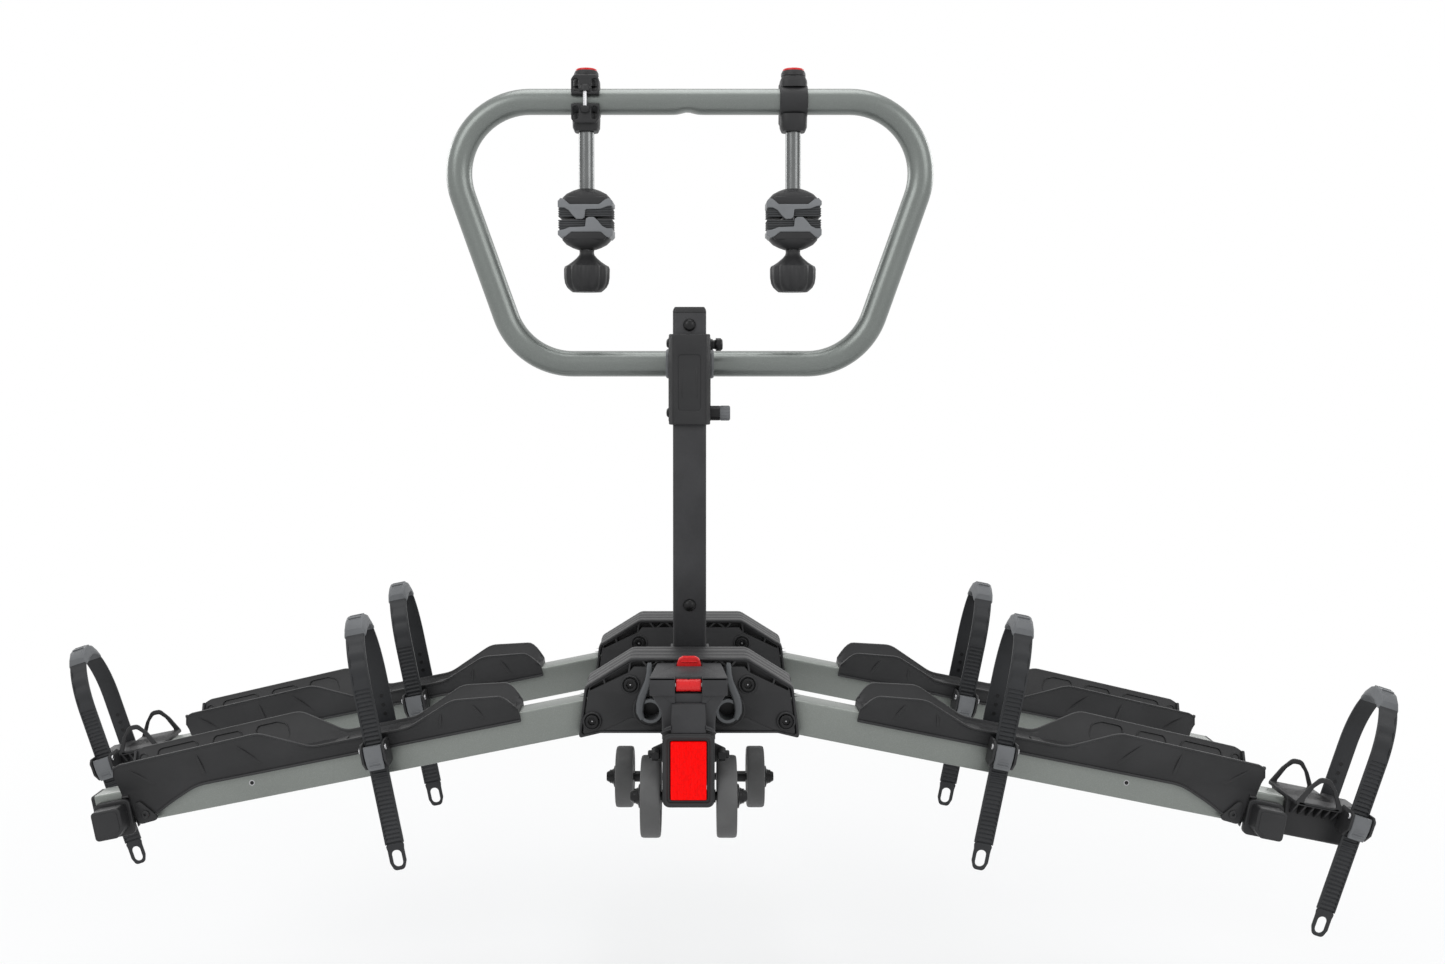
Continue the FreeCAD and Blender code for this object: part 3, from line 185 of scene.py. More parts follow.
def plate(outline, thick, bevel=0.6, holes=(), steps=2):
    """A flat piece with softened edges, centred on its own XY plane."""
    curve = bpy.data.curves.new("plate", "CURVE")
    curve.dimensions = "2D"
    curve.fill_mode = "BOTH"
    curve.extrude = max(thick / 2 - bevel, 0.0)
    curve.bevel_depth = bevel
    curve.bevel_resolution = steps - 1
    curve.offset = -bevel
    for loop in (outline, *holes):
        spline = curve.splines.new("POLY")
        spline.points.add(len(loop) - 1)
        for point, spot in zip(spline.points, loop):
            point.co = (spot[0], spot[1], 0, 1)
        spline.use_cyclic_u = True
    holder = bpy.data.objects.new("plate", curve)
    bpy.context.scene.collection.objects.link(holder)
    graph = bpy.context.evaluated_depsgraph_get()
    mesh = bpy.data.meshes.new_from_object(holder.evaluated_get(graph))
    bpy.data.objects.remove(holder)
    bpy.data.curves.remove(curve)
    work = bmesh.new()
    work.from_mesh(mesh)
    bmesh.ops.remove_doubles(work, verts=work.verts, dist=0.004)
    bmesh.ops.recalc_face_normals(work, faces=work.faces)
    work.to_mesh(mesh)
    work.free()
    return mesh


def grid_mesh(rings, closed_length=False):
    """A skin over closed rings of points; an open length is capped at both ends."""
    work = bmesh.new()
    rows = [[work.verts.new(point) for point in ring] for ring in rings]
    spans = len(rows) if closed_length else len(rows) - 1
    for i in range(spans):
        here, there = rows[i], rows[(i + 1) % len(rows)]
        for k in range(len(here)):
            after = (k + 1) % len(here)
            work.faces.new((here[k], here[after], there[after], there[k]))
    if not closed_length:
        work.faces.new(list(reversed(rows[0])))
        work.faces.new(rows[-1])
    bmesh.ops.recalc_face_normals(work, faces=work.faces)
    mesh = bpy.data.meshes.new("grid")
    work.to_mesh(mesh)
    work.free()
    return mesh


def lathe(profile, steps=40):
    """A turned piece about Z from (radius, height) points; the profile closes on the axis."""
    work = bmesh.new()
    rings = []
    for radius, height in profile:
        if radius < 1e-6:
            rings.append([work.verts.new((0, 0, height))])
            continue
        rings.append([work.verts.new((p.x, p.y, height)) for p in circle(radius, steps=steps)])
    closed = profile[0][0] > 1e-6 and profile[-1][0] > 1e-6
    pairs = list(zip(rings, rings[1:] + (rings[:1] if closed else [])))
    for low, high in pairs[:len(rings) if closed else len(rings) - 1]:
        for k in range(steps):
            after = (k + 1) % steps
            if len(low) == 1 and len(high) == 1:
                continue
            if len(low) == 1:
                work.faces.new((low[0], high[after], high[k]))
            elif len(high) == 1:
                work.faces.new((low[k], low[after], high[0]))
            else:
                work.faces.new((low[k], low[after], high[after], high[k]))
    bmesh.ops.recalc_face_normals(work, faces=work.faces)
    mesh = bpy.data.meshes.new("lathe")
    work.to_mesh(mesh)
    work.free()
    return mesh


def sweep(path, section, closed=False, scale=None):
    """A section carried along a path of points without twist."""
    count = len(path)
    rings = []
    normal = None
    for i, point in enumerate(path):
        if closed:
            tangent = path[(i + 1) % count] - path[i - 1]
        else:
            tangent = path[min(i + 1, count - 1)] - path[max(i - 1, 0)]
        tangent = tangent.normalized()
        if normal is None:
            normal = tangent.orthogonal() if abs(tangent.y) > 0.95 else tangent.cross(Vector((0, 1, 0)))
        normal = (normal - tangent * normal.dot(tangent)).normalized()
        side = tangent.cross(normal)
        grow = scale[i] if scale else 1.0
        rings.append([point + normal * (s[0] * grow) + side * (s[1] * grow) for s in section])
    return grid_mesh(rings, closed_length=closed)


def bead(points, radius, closed=False, steps=8):
    """A round bead along points."""
    return sweep([Vector(p) for p in points], circle(radius, steps=steps), closed)


def moved(mesh, *matrices):
    """A mesh after the matrices, the first of them applied last."""
    total = Matrix.Identity(4)
    for matrix in matrices:
        total = total @ matrix
    mesh.transform(total)
    if total.determinant() < 0:
        mesh.flip_normals()
    return mesh


def block(width, depth, height, bevel=0.8, corner=1.2):
    """A box with rounded upright edges and softened rims, centred at the origin."""
    return plate(rounded(rectangle(width, depth), corner), height, bevel)


def piece(name, body, parts, replaces):
    """Join (mesh, material) pairs into one object that rides on a body."""
    work = bmesh.new()
    materials = []
    for mesh, finish in parts:
        if finish not in materials:
            materials.append(finish)
        first = len(work.faces)
        work.from_mesh(mesh)
        work.faces.ensure_lookup_table()
        for face in work.faces[first:]:
            face.material_index = materials.index(finish)
            face.smooth = True
        bpy.data.meshes.remove(mesh)
    whole = bpy.data.meshes.new(name)
    work.to_mesh(whole)
    work.free()
    whole.transform(Matrix.Scale(MM, 4))
    whole.set_sharp_from_angle(angle=math.radians(32))
    for finish in materials:
        whole.materials.append(bpy.data.materials[finish])
    thing = bpy.data.objects.new(name, whole)
    bpy.context.scene.collection.objects.link(thing)
    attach(thing, body)
    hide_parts(*replaces)


# ------------------------------------------------------------------ materials
def new_material(name, colour, roughness, metallic=0.0):
    """A new material with its node tree and its shader."""
    material = bpy.data.materials.new(name)
    material.use_nodes = True
    tree = material.node_tree
    shader = tree.nodes["Principled BSDF"]
    shader.inputs["Base Color"].default_value = (*colour, 1)
    shader.inputs["Roughness"].default_value = roughness
    shader.inputs["Metallic"].default_value = metallic
    return material, tree, shader


def noise(tree, scale, detail=4.0, stretch=(1, 1, 1)):
    """Noise on the object's own coordinates."""
    place = tree.nodes.new("ShaderNodeTexCoord")
    mapping = tree.nodes.new("ShaderNodeMapping")
    mapping.inputs["Scale"].default_value = stretch
    texture = tree.nodes.new("ShaderNodeTexNoise")
    texture.inputs["Scale"].default_value = scale
    texture.inputs["Detail"].default_value = detail
    tree.links.new(place.outputs["Object"], mapping.inputs["Vector"])
    tree.links.new(mapping.outputs["Vector"], texture.inputs["Vector"])
    return texture.outputs["Fac"]


def cells(tree, scale):
    """Cells on the object's own coordinates."""
    texture = tree.nodes.new("ShaderNodeTexVoronoi")
    texture.inputs["Scale"].default_value = scale
    place = tree.nodes.new("ShaderNodeTexCoord")
    tree.links.new(place.outputs["Object"], texture.inputs["Vector"])
    return texture.outputs


def spread(tree, source, low, high, from_low=0.3, from_high=0.7):
    """A value spread between two numbers by a source."""
    ramp = tree.nodes.new("ShaderNodeMapRange")
    ramp.inputs["From Min"].default_value = from_low
    ramp.inputs["From Max"].default_value = from_high
    ramp.inputs["To Min"].default_value = low
    ramp.inputs["To Max"].default_value = high
    tree.links.new(source, ramp.inputs["Value"])
    return ramp.outputs["Result"]


def mix_colour(tree, factor, first, second):
    """A blend of two colours by a factor."""
    mixer = tree.nodes.new("ShaderNodeMix")
    mixer.data_type = "RGBA"
    mixer.inputs["A"].default_value = (*first, 1)
    mixer.inputs["B"].default_value = (*second, 1)
    tree.links.new(factor, mixer.inputs["Factor"])
    return mixer.outputs["Result"]


def bump(tree, shader, height, strength, distance):
    """Relief on a shader from a height."""
    node = tree.nodes.new("ShaderNodeBump")
    node.inputs["Strength"].default_value = strength
    node.inputs["Distance"].default_value = distance
    tree.links.new(height, node.inputs["Height"])
    tree.links.new(node.outputs["Normal"], shader.inputs["Normal"])


def shade(colour, factor):
    """A lighter or darker colour."""
    return tuple(min(max(c * factor, 0.0), 1.0) for c in colour)


def surface(name, colour, rough, grain, depth, change=0.25, metallic=0.0, stretch=(1, 1, 1)):
    """Colour drift at a hand's scale, roughness drift, and a fine grain in relief."""
    _, tree, shader = new_material(name, colour, sum(rough) / 2, metallic)
    drift = noise(tree, 18.0, 5.0)
    tint = mix_colour(tree, spread(tree, drift, 0, 1), shade(colour, 1 - change),
                      shade(colour, 1 + change))
    tree.links.new(tint, shader.inputs["Base Color"])
    fine = noise(tree, grain, 3.0, stretch)
    tree.links.new(spread(tree, fine, *rough), shader.inputs["Roughness"])
    bump(tree, shader, fine, 0.35, depth * MM)
    shader.inputs["Specular IOR Level"].default_value = 0.3


def metallic_paint(name, colour, rough, flake):
    """Paint with metal flakes under a clear coat."""
    _, tree, shader = new_material(name, colour, rough, 0.55)
    glint = tree.nodes.new("ShaderNodeSeparateColor")
    tree.links.new(cells(tree, flake)["Color"], glint.inputs["Color"])
    drift = noise(tree, 9.0, 4.0)
    base = mix_colour(tree, spread(tree, drift, 0, 1), shade(colour, 0.9), shade(colour, 1.1))
    tint = mix_colour(tree, spread(tree, glint.outputs["Red"], 0, 0.5, 0.6, 1.0), colour,
                      shade(colour, 2.0))
    mixer = tree.nodes.new("ShaderNodeMix")
    mixer.data_type = "RGBA"
    mixer.inputs["Factor"].default_value = 0.5
    tree.links.new(base, mixer.inputs["A"])
    tree.links.new(tint, mixer.inputs["B"])
    tree.links.new(mixer.outputs["Result"], shader.inputs["Base Color"])
    shader.inputs["Coat Weight"].default_value = 0.25
    shader.inputs["Coat Roughness"].default_value = 0.18
    bump(tree, shader, noise(tree, 900.0, 2.0), 0.12, 0.03 * MM)


def glowing_lens_red(name, colour):
    """A moulded reflector: small prisms under a smooth clear face, with painted shade towards each
    prism's edge and a painted glow, a faint emission of its own red though it is no lamp.
    """
    _, tree, shader = new_material(name, colour, 0.25)
    # painted shade: the red is darkened towards the edge of each prism cell
    depth = spread(tree, cells(tree, 420.0)["Distance"], 0, 1, 0.1, 0.7)
    tint = mix_colour(tree, depth, colour, shade(colour, 0.8))
    tree.links.new(tint, shader.inputs["Base Color"])
    # painted glow: the reflector emits a little of its red, standing in for light it sends back
    tree.links.new(tint, shader.inputs["Emission Color"])
    shader.inputs["Emission Strength"].default_value = 0.25
    shader.inputs["Specular IOR Level"].default_value = 0.1


# ------------------------------------------------------------------ settings
class RackSizes(bpy.types.PropertyGroup):
    """Sizes of the moulded details, in millimetres."""
    lip: FloatProperty(name="Tray lip", description="Width of the rolled lip of a tray",
                       default=1.6, min=0.5, max=4)
    rib_pitch: FloatProperty(name="Strap rib pitch", description="Distance between strap ribs",
                             default=5.0, min=2, max=10)
    rib_depth: FloatProperty(name="Strap rib depth", description="Depth of a strap's teeth",
                             default=1.1, min=0.2, max=2)
    knob_lobes: IntProperty(name="Knob lobes", description="Lobes round a clamp knob",
                            default=6, min=3, max=12)


def colour_property(name, value):
    """A colour setting."""
    return FloatVectorProperty(name=name, description=f"Base colour of the {name.lower()}",
                               subtype="COLOR", size=3, min=0, max=1, default=value)


class RackColours(bpy.types.PropertyGroup):
    """Base colours of the finishes."""
    mould: colour_property("Moulded covers", (0.024, 0.024, 0.025))
    powder: colour_property("Powder coat", (0.036, 0.036, 0.038))
    rail: colour_property("Rail paint", (0.20, 0.215, 0.20))
    hoop: colour_property("Hoop paint", (0.165, 0.18, 0.17))
    strap: colour_property("Straps", (0.022, 0.023, 0.025))
    grey: colour_property("Grey mouldings", (0.145, 0.15, 0.156))
    tyre: colour_property("Wheels", (0.10, 0.10, 0.10))
    tube: colour_property("Side tubes", (0.11, 0.115, 0.12))
    steel: colour_property("Bright steel", (0.48, 0.48, 0.49))
    red: colour_property("Red mouldings", (0.70, 0.018, 0.02))
    lens: colour_property("Reflector", (0.95, 0.0, 0.0))


def sizes():
    """The sizes that are set in the panel."""
    return bpy.context.scene.rack_sizes


class RACK_OT_finishes(bpy.types.Operator):
    """Make the materials of every finish"""
    bl_idname = "rack.finishes"
    bl_label = "Finishes"

    def execute(self, context):
        tint = context.scene.rack_colours
        surface("moulded_black", tuple(tint.mould), (0.42, 0.58), 1500.0, 0.12, 0.2)
        surface("powder_black", tuple(tint.powder), (0.45, 0.62), 700.0, 0.25, 0.25)
        surface("strap_black", tuple(tint.strap), (0.36, 0.5), 1100.0, 0.06, 0.18)
        surface("moulded_grey", tuple(tint.grey), (0.45, 0.6), 1300.0, 0.1, 0.15)
        surface("wheel_grey", tuple(tint.tyre), (0.5, 0.68), 500.0, 0.2, 0.2)
        surface("tube_grey", tuple(tint.tube), (0.38, 0.5), 600.0, 0.1, 0.15, 0.3)
        surface("tube_black", (0.15, 0.155, 0.155), (0.2, 0.3), 300.0, 0.01, 0.15, 0.95)
        surface("jaw_grey", shade(tuple(tint.grey), 1.3), (0.42, 0.55), 1300.0, 0.1, 0.1)
        surface("bright_steel", tuple(tint.steel), (0.22, 0.38), 300.0, 0.03, 0.15, 1.0, (1, 1, 14))
        surface("bolt_black", shade(tuple(tint.mould), 0.6), (0.25, 0.4), 900.0, 0.05, 0.2, 0.4)
        surface("jaw_rubber", shade(tuple(tint.grey), 0.35), (0.6, 0.75), 900.0, 0.2, 0.2)
        surface("red_gloss", tuple(tint.red), (0.24, 0.34), 400.0, 0.03, 0.1)
        metallic_paint("rail_coat", tuple(tint.rail), 0.42, 2600.0)
        metallic_paint("hoop_coat", tuple(tint.hoop), 0.34, 2200.0)
        glowing_lens_red("reflector_red_glow", tuple(tint.lens))
        return {"FINISHED"}


# ------------------------------------------------------------------ rails and trays
RAIL_HOLE = 368.5
RAIL_SECTION = (32.0, 40.0)
RAIL_WALL = 2.5
RAIL_LONG = 632.0
TRAY = (47.0, 518.0)
RAMP = [(47, 25), (58, 46.3), (117, 54), (175, 30.4)]
FRONT_WALL = [*RAMP, (288.6, 30.4), (341.5, 60.7), (515.5, 55.2), (518, 42)]
REAR_WALL = [*RAMP, (262, 30.4), (314, 60.7), (515.5, 55.2), (518, 42)]
SKIRT = [(47, 10), (430, 10), (466, -5), (500, -23), (508.7, -23), (509.4, 12.3), (518, 12.3)]


def at_u(points, u):
    """Height of an outline at a place along the rail."""
    for (u0, v0), (u1, v1) in zip(points, points[1:]):
        if u <= u1:
            return v0 + (v1 - v0) * max(u - u0, 0) / (u1 - u0)
    return points[-1][1]


def eased(points, u, soft=7.0, samples=7):
    """The same height with its corners eased over a soft length."""
    reach = min(soft, u - points[0][0], points[-1][0] - u)
    spots = [u + reach * (2 * k / (samples - 1) - 1) for k in range(samples)]
    return sum(at_u(points, spot) for spot in spots) / samples


def wall_out(v):
    """Distance of a tray wall's outer face from the rail's middle at a height."""
    return 19.9 + 17.6 * max((v - 23.8) / 37.0, 0) ** 0.8


def tray_half(top, skirt, lip):
    """One half of a tray's section, from the skirt inside to the floor."""
    rim = wall_out(top)
    mid = 24 + (top - 24) * 0.5
    return [(16.4, skirt), (21.6, skirt), (22.2, skirt + 1.4), (21.6, skirt + 2.8),
            (19.9, skirt + 3.4), (19.9, 17.5), (21.0, 20.5), (22.0, 23.5), (wall_out(mid), mid),
            (rim, top - 2.6), (rim + lip, top - 1.9), (rim + lip, top - 0.5), (rim + lip * 0.6, top),
            (rim - 1.4, top), (rim - 2.2, top - 0.6), (rim - 3.0, top - 3.0),
            (wall_out(mid) - 3.2, mid), (17.0, 24.6), (14.5, 23.9)]


def tray_skin(front):
    """The gutter with its saddle; front is the sign of the wing's Y towards the viewer."""
    rings = []
    count = 118
    for i in range(count + 1):
        u = TRAY[0] + (TRAY[1] - TRAY[0]) * i / count
        skirt = at_u(SKIRT, u) if u > 505 else eased(SKIRT, u, 10)
        seen = tray_half(max(eased(FRONT_WALL, u), 25.5), skirt, sizes().lip)
        back = tray_half(max(eased(REAR_WALL, u), 25.5), skirt, sizes().lip)
        ring = [Vector((u, front * w, v)) for w, v in seen]
        ring += [Vector((u, -front * w, v)) for w, v in reversed(back)]
        ring += [Vector((u, -front * 16.4, 20.4)), Vector((u, front * 16.4, 20.4))]
        rings.append(ring)
    return grid_mesh(rings)


TRAY_WALL = 3.1


def on_inner_wall(u, v, side):
    """A point on a wall's inner face."""
    return Vector((u, side * (wall_out(v) - TRAY_WALL), v))


PANELS = [
    [(326, 33), (331, 50), (342, 54.5), (372, 54), (362, 33)],
    [(382, 36), (388, 53), (420, 52.5), (424, 36)],
    [(436, 36), (442, 52), (488, 50.5), (491, 36)],
    [(499, 37), (503, 49), (511, 48), (511, 37)],
]


def inner_panels(side):
    """Raised outlines of the pressed panels on a wall's inner face."""
    out = []
    for panel in PANELS:
        outline = rounded(panel, 6, 5)
        out.append(bead([on_inner_wall(p[0], p[1], side) for p in outline], 0.85, closed=True))
    return out


def outer_ribs(front):
    """Gussets between a wall's outer face and the saddle."""
    out = []
    for low_u, high_u in ((352, 372), (418, 418), (478, 500), (88, 96), (140, 134)):
        top = at_u(FRONT_WALL, high_u) - 8
        steps = 6
        path = []
        for k in range(steps + 1):
            t = k / steps
            v = 22 + (top - 22) * t
            path.append(Vector((low_u + (high_u - low_u) * t, front * (wall_out(v) + 0.2), v)))
        scale = [1.0, 1.0, 0.95, 0.85, 0.7, 0.5, 0.25]
        out.append(sweep(path, rounded(rectangle(4.4, 3.4), 1.2, 2), scale=scale))
    return out


def tray_parts(front):
    """A tray: its skin, panels, gussets, end wall, pads, ears and screws."""
    parts = [tray_skin(front)]
    for side in (1, -1):
        parts += inner_panels(side)
        parts += outer_ribs(side)
    end = [(-17, 24), (-33, 52), (-30, 54), (-13, 34), (13, 34), (30, 54), (33, 52), (17, 24)]
    parts.append(moved(plate(rounded(end, 1.5, 2), 3, 0.6), shift(515), SIDE))
    for u in (60, 186, 262):
        parts.append(moved(block(14, 26, 1.6, 0.5, 2), shift(u, 0, 24.6)))
    ear = rounded([(478, -19), (504, -21), (504, 4), (498, 6)], 4, 4)
    for side in (1, -1):
        parts.append(moved(plate(ear, 3.2, 0.7), shift(0, side * 21.2), FRONT))
        screw = lathe([(0, 0), (4.4, 0), (4.4, 2.2), (3.4, 3), (1.8, 3), (1.6, 1.4), (0, 1.4)], 20)
        parts.append(moved(screw, shift(494, side * 22.4, -10), spin(-90 * side, "X")))
    return parts


class RACK_OT_rails(bpy.types.Operator):
    """Build the four box rails"""
    bl_idname = "rack.rails"
    bl_label = "Rails"

    def execute(self, context):
        for row in ROWS:
            for hand, _ in SIDES:
                place = wing(row, hand)
                outer = rounded(rectangle(*RAIL_SECTION), 2.6, 4)
                inner = rounded(rectangle(*(size - 2 * RAIL_WALL for size in RAIL_SECTION)), 1.2, 2)
                tube = plate(outer, RAIL_LONG, 0.3, [inner])
                tube = moved(tube, place, shift(RAIL_LONG / 2 - DATUM), SIDE)
                parts = [(tube, "rail_coat")]
                for face in (-1, 1):
                    rim = lathe([(2.3, 0), (3.2, 0), (3.2, 0.15), (2.3, 0.1)], 24)
                    # painted shade: a thin dark disc fills the rim in place of the hole's shadowed
                    # inside; no hole is cut in the rail
                    dark = lathe([(0, 0.02), (2.4, 0.02), (2.4, 0.08), (0, 0.08)], 24)
                    seat = shift(RAIL_HOLE, face * 15.95) @ spin(-90 * face, "X")
                    parts.append((moved(rim, place, seat), "bright_steel"))
                    parts.append((moved(dark, place, seat), "bolt_black"))
                piece(f"box_rail_{row}_{hand}", "frame", parts, [f"rail_{row}_{hand}"])
        return {"FINISHED"}


class RACK_OT_trays(bpy.types.Operator):
    """Build the four wheel trays"""
    bl_idname = "rack.trays"
    bl_label = "Wheel trays"

    def execute(self, context):
        for row in ROWS:
            for hand, side in SIDES:
                place = wing(row, hand)
                parts = [(moved(mesh, place), "moulded_black") for mesh in tray_parts(-side)]
                piece(f"wheel_tray_{row}_{hand}", "frame", parts, [f"tray_{row}_{hand}"])
        return {"FINISHED"}


CAP = (530.4, -9.0)


class RACK_OT_end_caps(bpy.types.Operator):
    """Build the square corner caps and the rails' end plugs"""
    bl_idname = "rack.end_caps"
    bl_label = "Rail end caps"

    def execute(self, context):
        parts = []
        for hand, side in SIDES:
            place, front = wing("near", hand), -side
            face = [(17, -17), (-8, -17), (-17, -9), (-17, 17), (17, 17)]
            for outline, depth, level in ((rounded(rectangle(42, 42), 6, 5), 8, 20.6),
                                          (rounded(face, 4.5, 5), 19, 33.5)):
                mesh = plate(outline, depth, 1.6, steps=4)
                seat = shift(CAP[0], front * level, CAP[1])
                parts.append((moved(mesh, place, seat, FRONT), "moulded_black"))
            dish = plate(rounded([(x * 0.8, y * 0.8) for x, y in face], 3.5, 4), 1.4, 0.5)
            parts.append((moved(dish, place, shift(CAP[0], front * 43, CAP[1]), FRONT),
                          "moulded_black"))
        for row, hand in (("near", "left"), ("far", "right")):
            place = wing(row, hand)
            lid = plate(rounded(rectangle(*RAIL_SECTION), 3, 4), 4, 1.2, steps=3)
            parts.append((moved(lid, place, shift(554.3), SIDE), "moulded_black"))
        piece("corner_caps", "frame", parts, ["rail_end_caps"])
        return {"FINISHED"}


# ------------------------------------------------------------------ straps
STRAP_U = 214.5
OUTER_STRAP_U = 628.0
OUTER_LEAN = 7.0
LEG = 36.0
STRAP_TOP = 158.0
SHOULDER = 86.0


def strap_seat(row, hand, outer):
    """Matrix of a strap's own frame on a wing."""
    if outer:
        return wing(row, hand) @ shift(OUTER_STRAP_U) @ spin(OUTER_LEAN, "Y")
    return wing(row, hand) @ shift(STRAP_U)


def strap_line(front):
    """Middle line of a strap: tail, front band, top bend, back band; with its rib flags."""
    line = []
    pitch = sizes().rib_pitch / 4
    v = -96.0
    while v < SHOULDER:
        line.append((front * LEG, v, True))
        v += pitch
    steps = 44
    for k in range(steps + 1):
        t = math.pi * k / steps
        w = front * LEG * math.cos(t)
        line.append((w, SHOULDER + (STRAP_TOP - SHOULDER) * math.sin(t), k < 12))
    for v in (70, 50, 30, 14, 3):
        line.append((-front * LEG, v, False))
    return line


def strap_band(front):
    """The ribbed band as one skin."""
    line = strap_line(front)
    half, thick, edge = 10.9, 2.9, 2.2
    rings = []
    for i, (w, v, ribbed) in enumerate(line):
        before, after = line[max(i - 1, 0)], line[min(i + 1, len(line) - 1)]
        run = Vector((0, after[0] - before[0], after[1] - before[1])).normalized()
        out = Vector((0, run.z, -run.y)) * (1 if front > 0 else -1)
        spot = Vector((0, w, v))
        low = spot - out * (thick / 2)
        deep = sizes().rib_depth if ribbed and i % 4 < 2 else 0.0
        top = thick
        bed = thick - deep
        marks = ((-half, 0.4), (-half, top - 0.5), (-half + 0.6, top), (-half + edge, top),
                 (-half + edge + 0.3, bed), (half - edge - 0.3, bed), (half - edge, top),
                 (half - 0.6, top), (half, top - 0.5), (half, 0.4), (half - 0.6, 0), (-half + 0.6, 0))
        rings.append([low + Vector((u, 0, 0)) + out * h for u, h in marks])
    return grid_mesh(rings)


def pull_end(front):
    """The smooth end of the tail with its long pull slot."""
    outer = [(-10.9, 0), (10.9, 0), (9.6, -8), (9.6, -22), (6, -31.5), (-6, -31.5), (-9.6, -22),
             (-9.6, -8)]
    slot = [(-5.6, -8), (5.6, -8), (5.6, -27.5), (-5.6, -27.5)]
    mesh = plate(rounded(outer, 5, 5), 2.9, 0.7, [rounded(slot, 5.5, 7)])
    return moved(mesh, shift(0, front * LEG, -95.5), FRONT)


def adjusting_holes(front):
    """Raised rims round the holes near the strap's fixed end, each hole filled with a dark disc as
    painted shade.
    """
    out = []
    for v in (38, 49, 60):
        ring = lathe([(2.4, -1.7), (3.5, -1.7), (3.5, 1.7), (2.4, 1.7)], 20)
        out.append((moved(ring, shift(0, -front * LEG, v), spin(90, "X")), "strap_black"))
        # painted shade: a dark disc fills the ring in place of the hole; the band itself has no hole
        dark = lathe([(0, -1.62), (2.5, -1.62), (2.5, 1.62), (0, 1.62)], 20)
        out.append((moved(dark, shift(0, -front * LEG, v), spin(90, "X")), "bolt_black"))
    return out


def strap_parts(front):
    """The ribbed band, its pull end and its adjusting holes."""
    parts = [(strap_band(front), "strap_black"), (pull_end(front), "strap_black")]
    return parts + adjusting_holes(front)


def pad_parts():
    """The saddle pad that sits on top of a loop."""
    body = [(-13.7, -9), (13.7, -9), (13.7, -5.5), (10.6, 3.2), (8.5, 4.6), (-8.5, 4.6),
            (-10.6, 3.2), (-13.7, -5.5)]
    rings = []
    for y, grow in ((-21, 0.82), (-19.5, 0.92), (-10, 1.0), (0, 1.04), (10, 1.0), (19.5, 0.92),
                    (21, 0.82)):
        drop = -11 * (y / 21) ** 2
        rings.append([Vector((x * grow, y, STRAP_TOP + 3.2 + z * grow + drop))
                      for x, z in rounded(body, 1.6, 3)])
    pads = [(grid_mesh(rings), "moulded_grey")]
    for y in (-8, 0, 8):
        bar = block(15, 2.2, 1.6, 0.5, 1)
        pads.append((moved(bar, shift(0, y, STRAP_TOP + 7.6 - abs(y) * 0.12)), "moulded_grey"))
    return pads


def buckle_parts(front):
    """The buckle's two cheeks, its back and the anchor on the other side."""
    parts = []
    cheek = rounded([(22, -4), (40, -6), (49, 4), (49, 21), (44, 25), (24, 25), (20.4, 20)], 2.5, 4)
    for side in (-1, 1):
        outline = [(front * w, v) for w, v in cheek]
        mesh = plate(outline, 2.8, 0.6)
        parts.append((moved(mesh, shift(side * 12.8), SIDE), "moulded_black"))
        end = lathe([(0, 0), (3.4, 0), (3.4, 1.2), (2.6, 2), (0, 2)], 20)
        parts.append((moved(end, shift(side * 14.1, front * 43.5, 18), spin(side * 90, "Y")),
                      "bright_steel"))
    back = rounded(rectangle(28, 27, 0, 9.5), 3, 4)
    parts.append((moved(plate(back, 12, 1.0), shift(0, front * 27), FRONT), "moulded_black"))
    lug = rounded(rectangle(24, 20, 0, 11), 3, 4)
    parts.append((moved(plate(lug, 13, 1.2), shift(0, -front * 27), FRONT), "moulded_black"))
    screw = lathe([(0, 0), (4.6, 0), (4.2, 2.2), (2.2, 2.6), (2.0, 1.0), (0, 1.0)], 24)
    parts.append((moved(screw, shift(0, -front * 38.2, 12), spin(90 * front, "X")), "bolt_black"))
    return parts


def lever_parts(front):
    """The thumb lever: a dished plate on its pin."""
    rings = []
    for k in range(11):
        t = k / 10
        v = 21.5 - 27.5 * t
        half = 10.6 - 1.6 * t ** 3
        bow = 1.6 * math.sin(math.pi * t) + 0.4
        thick = 4.6 - 1.4 * t
        out = 43.6 + bow
        section = rounded([(-half, out - thick / 2), (half, out - thick / 2),
                           (half, out + thick / 2 + 0.8), (-half, out + thick / 2 + 0.8)], 1.3, 3)
        rings.append([Vector((p[0], front * p[1], v)) for p in section])
    parts = [(grid_mesh(rings), "moulded_grey")]
    roll = lathe([(0, -10.6), (3.4, -10.6), (3.4, 10.6), (0, 10.6)], 24)
    parts.append((moved(roll, shift(0, front * 43.5, 18), spin(90, "Y")), "moulded_grey"))
    grip = rounded([(-7, 47.2), (7, 47.2), (6, 48.2), (-6, 48.2)], 0.4, 2)
    for v in (-1, 2.5, 6):
        bar = [[Vector((p[0], front * (p[1] + 0.3), v + dv)) for p in grip] for dv in (-0.6, 0.6)]
        parts.append((grid_mesh(bar), "moulded_grey"))
    return parts


def placed(parts, matrix):
    """(mesh, material) pairs moved together."""
    return [(moved(mesh, matrix), finish) for mesh, finish in parts]


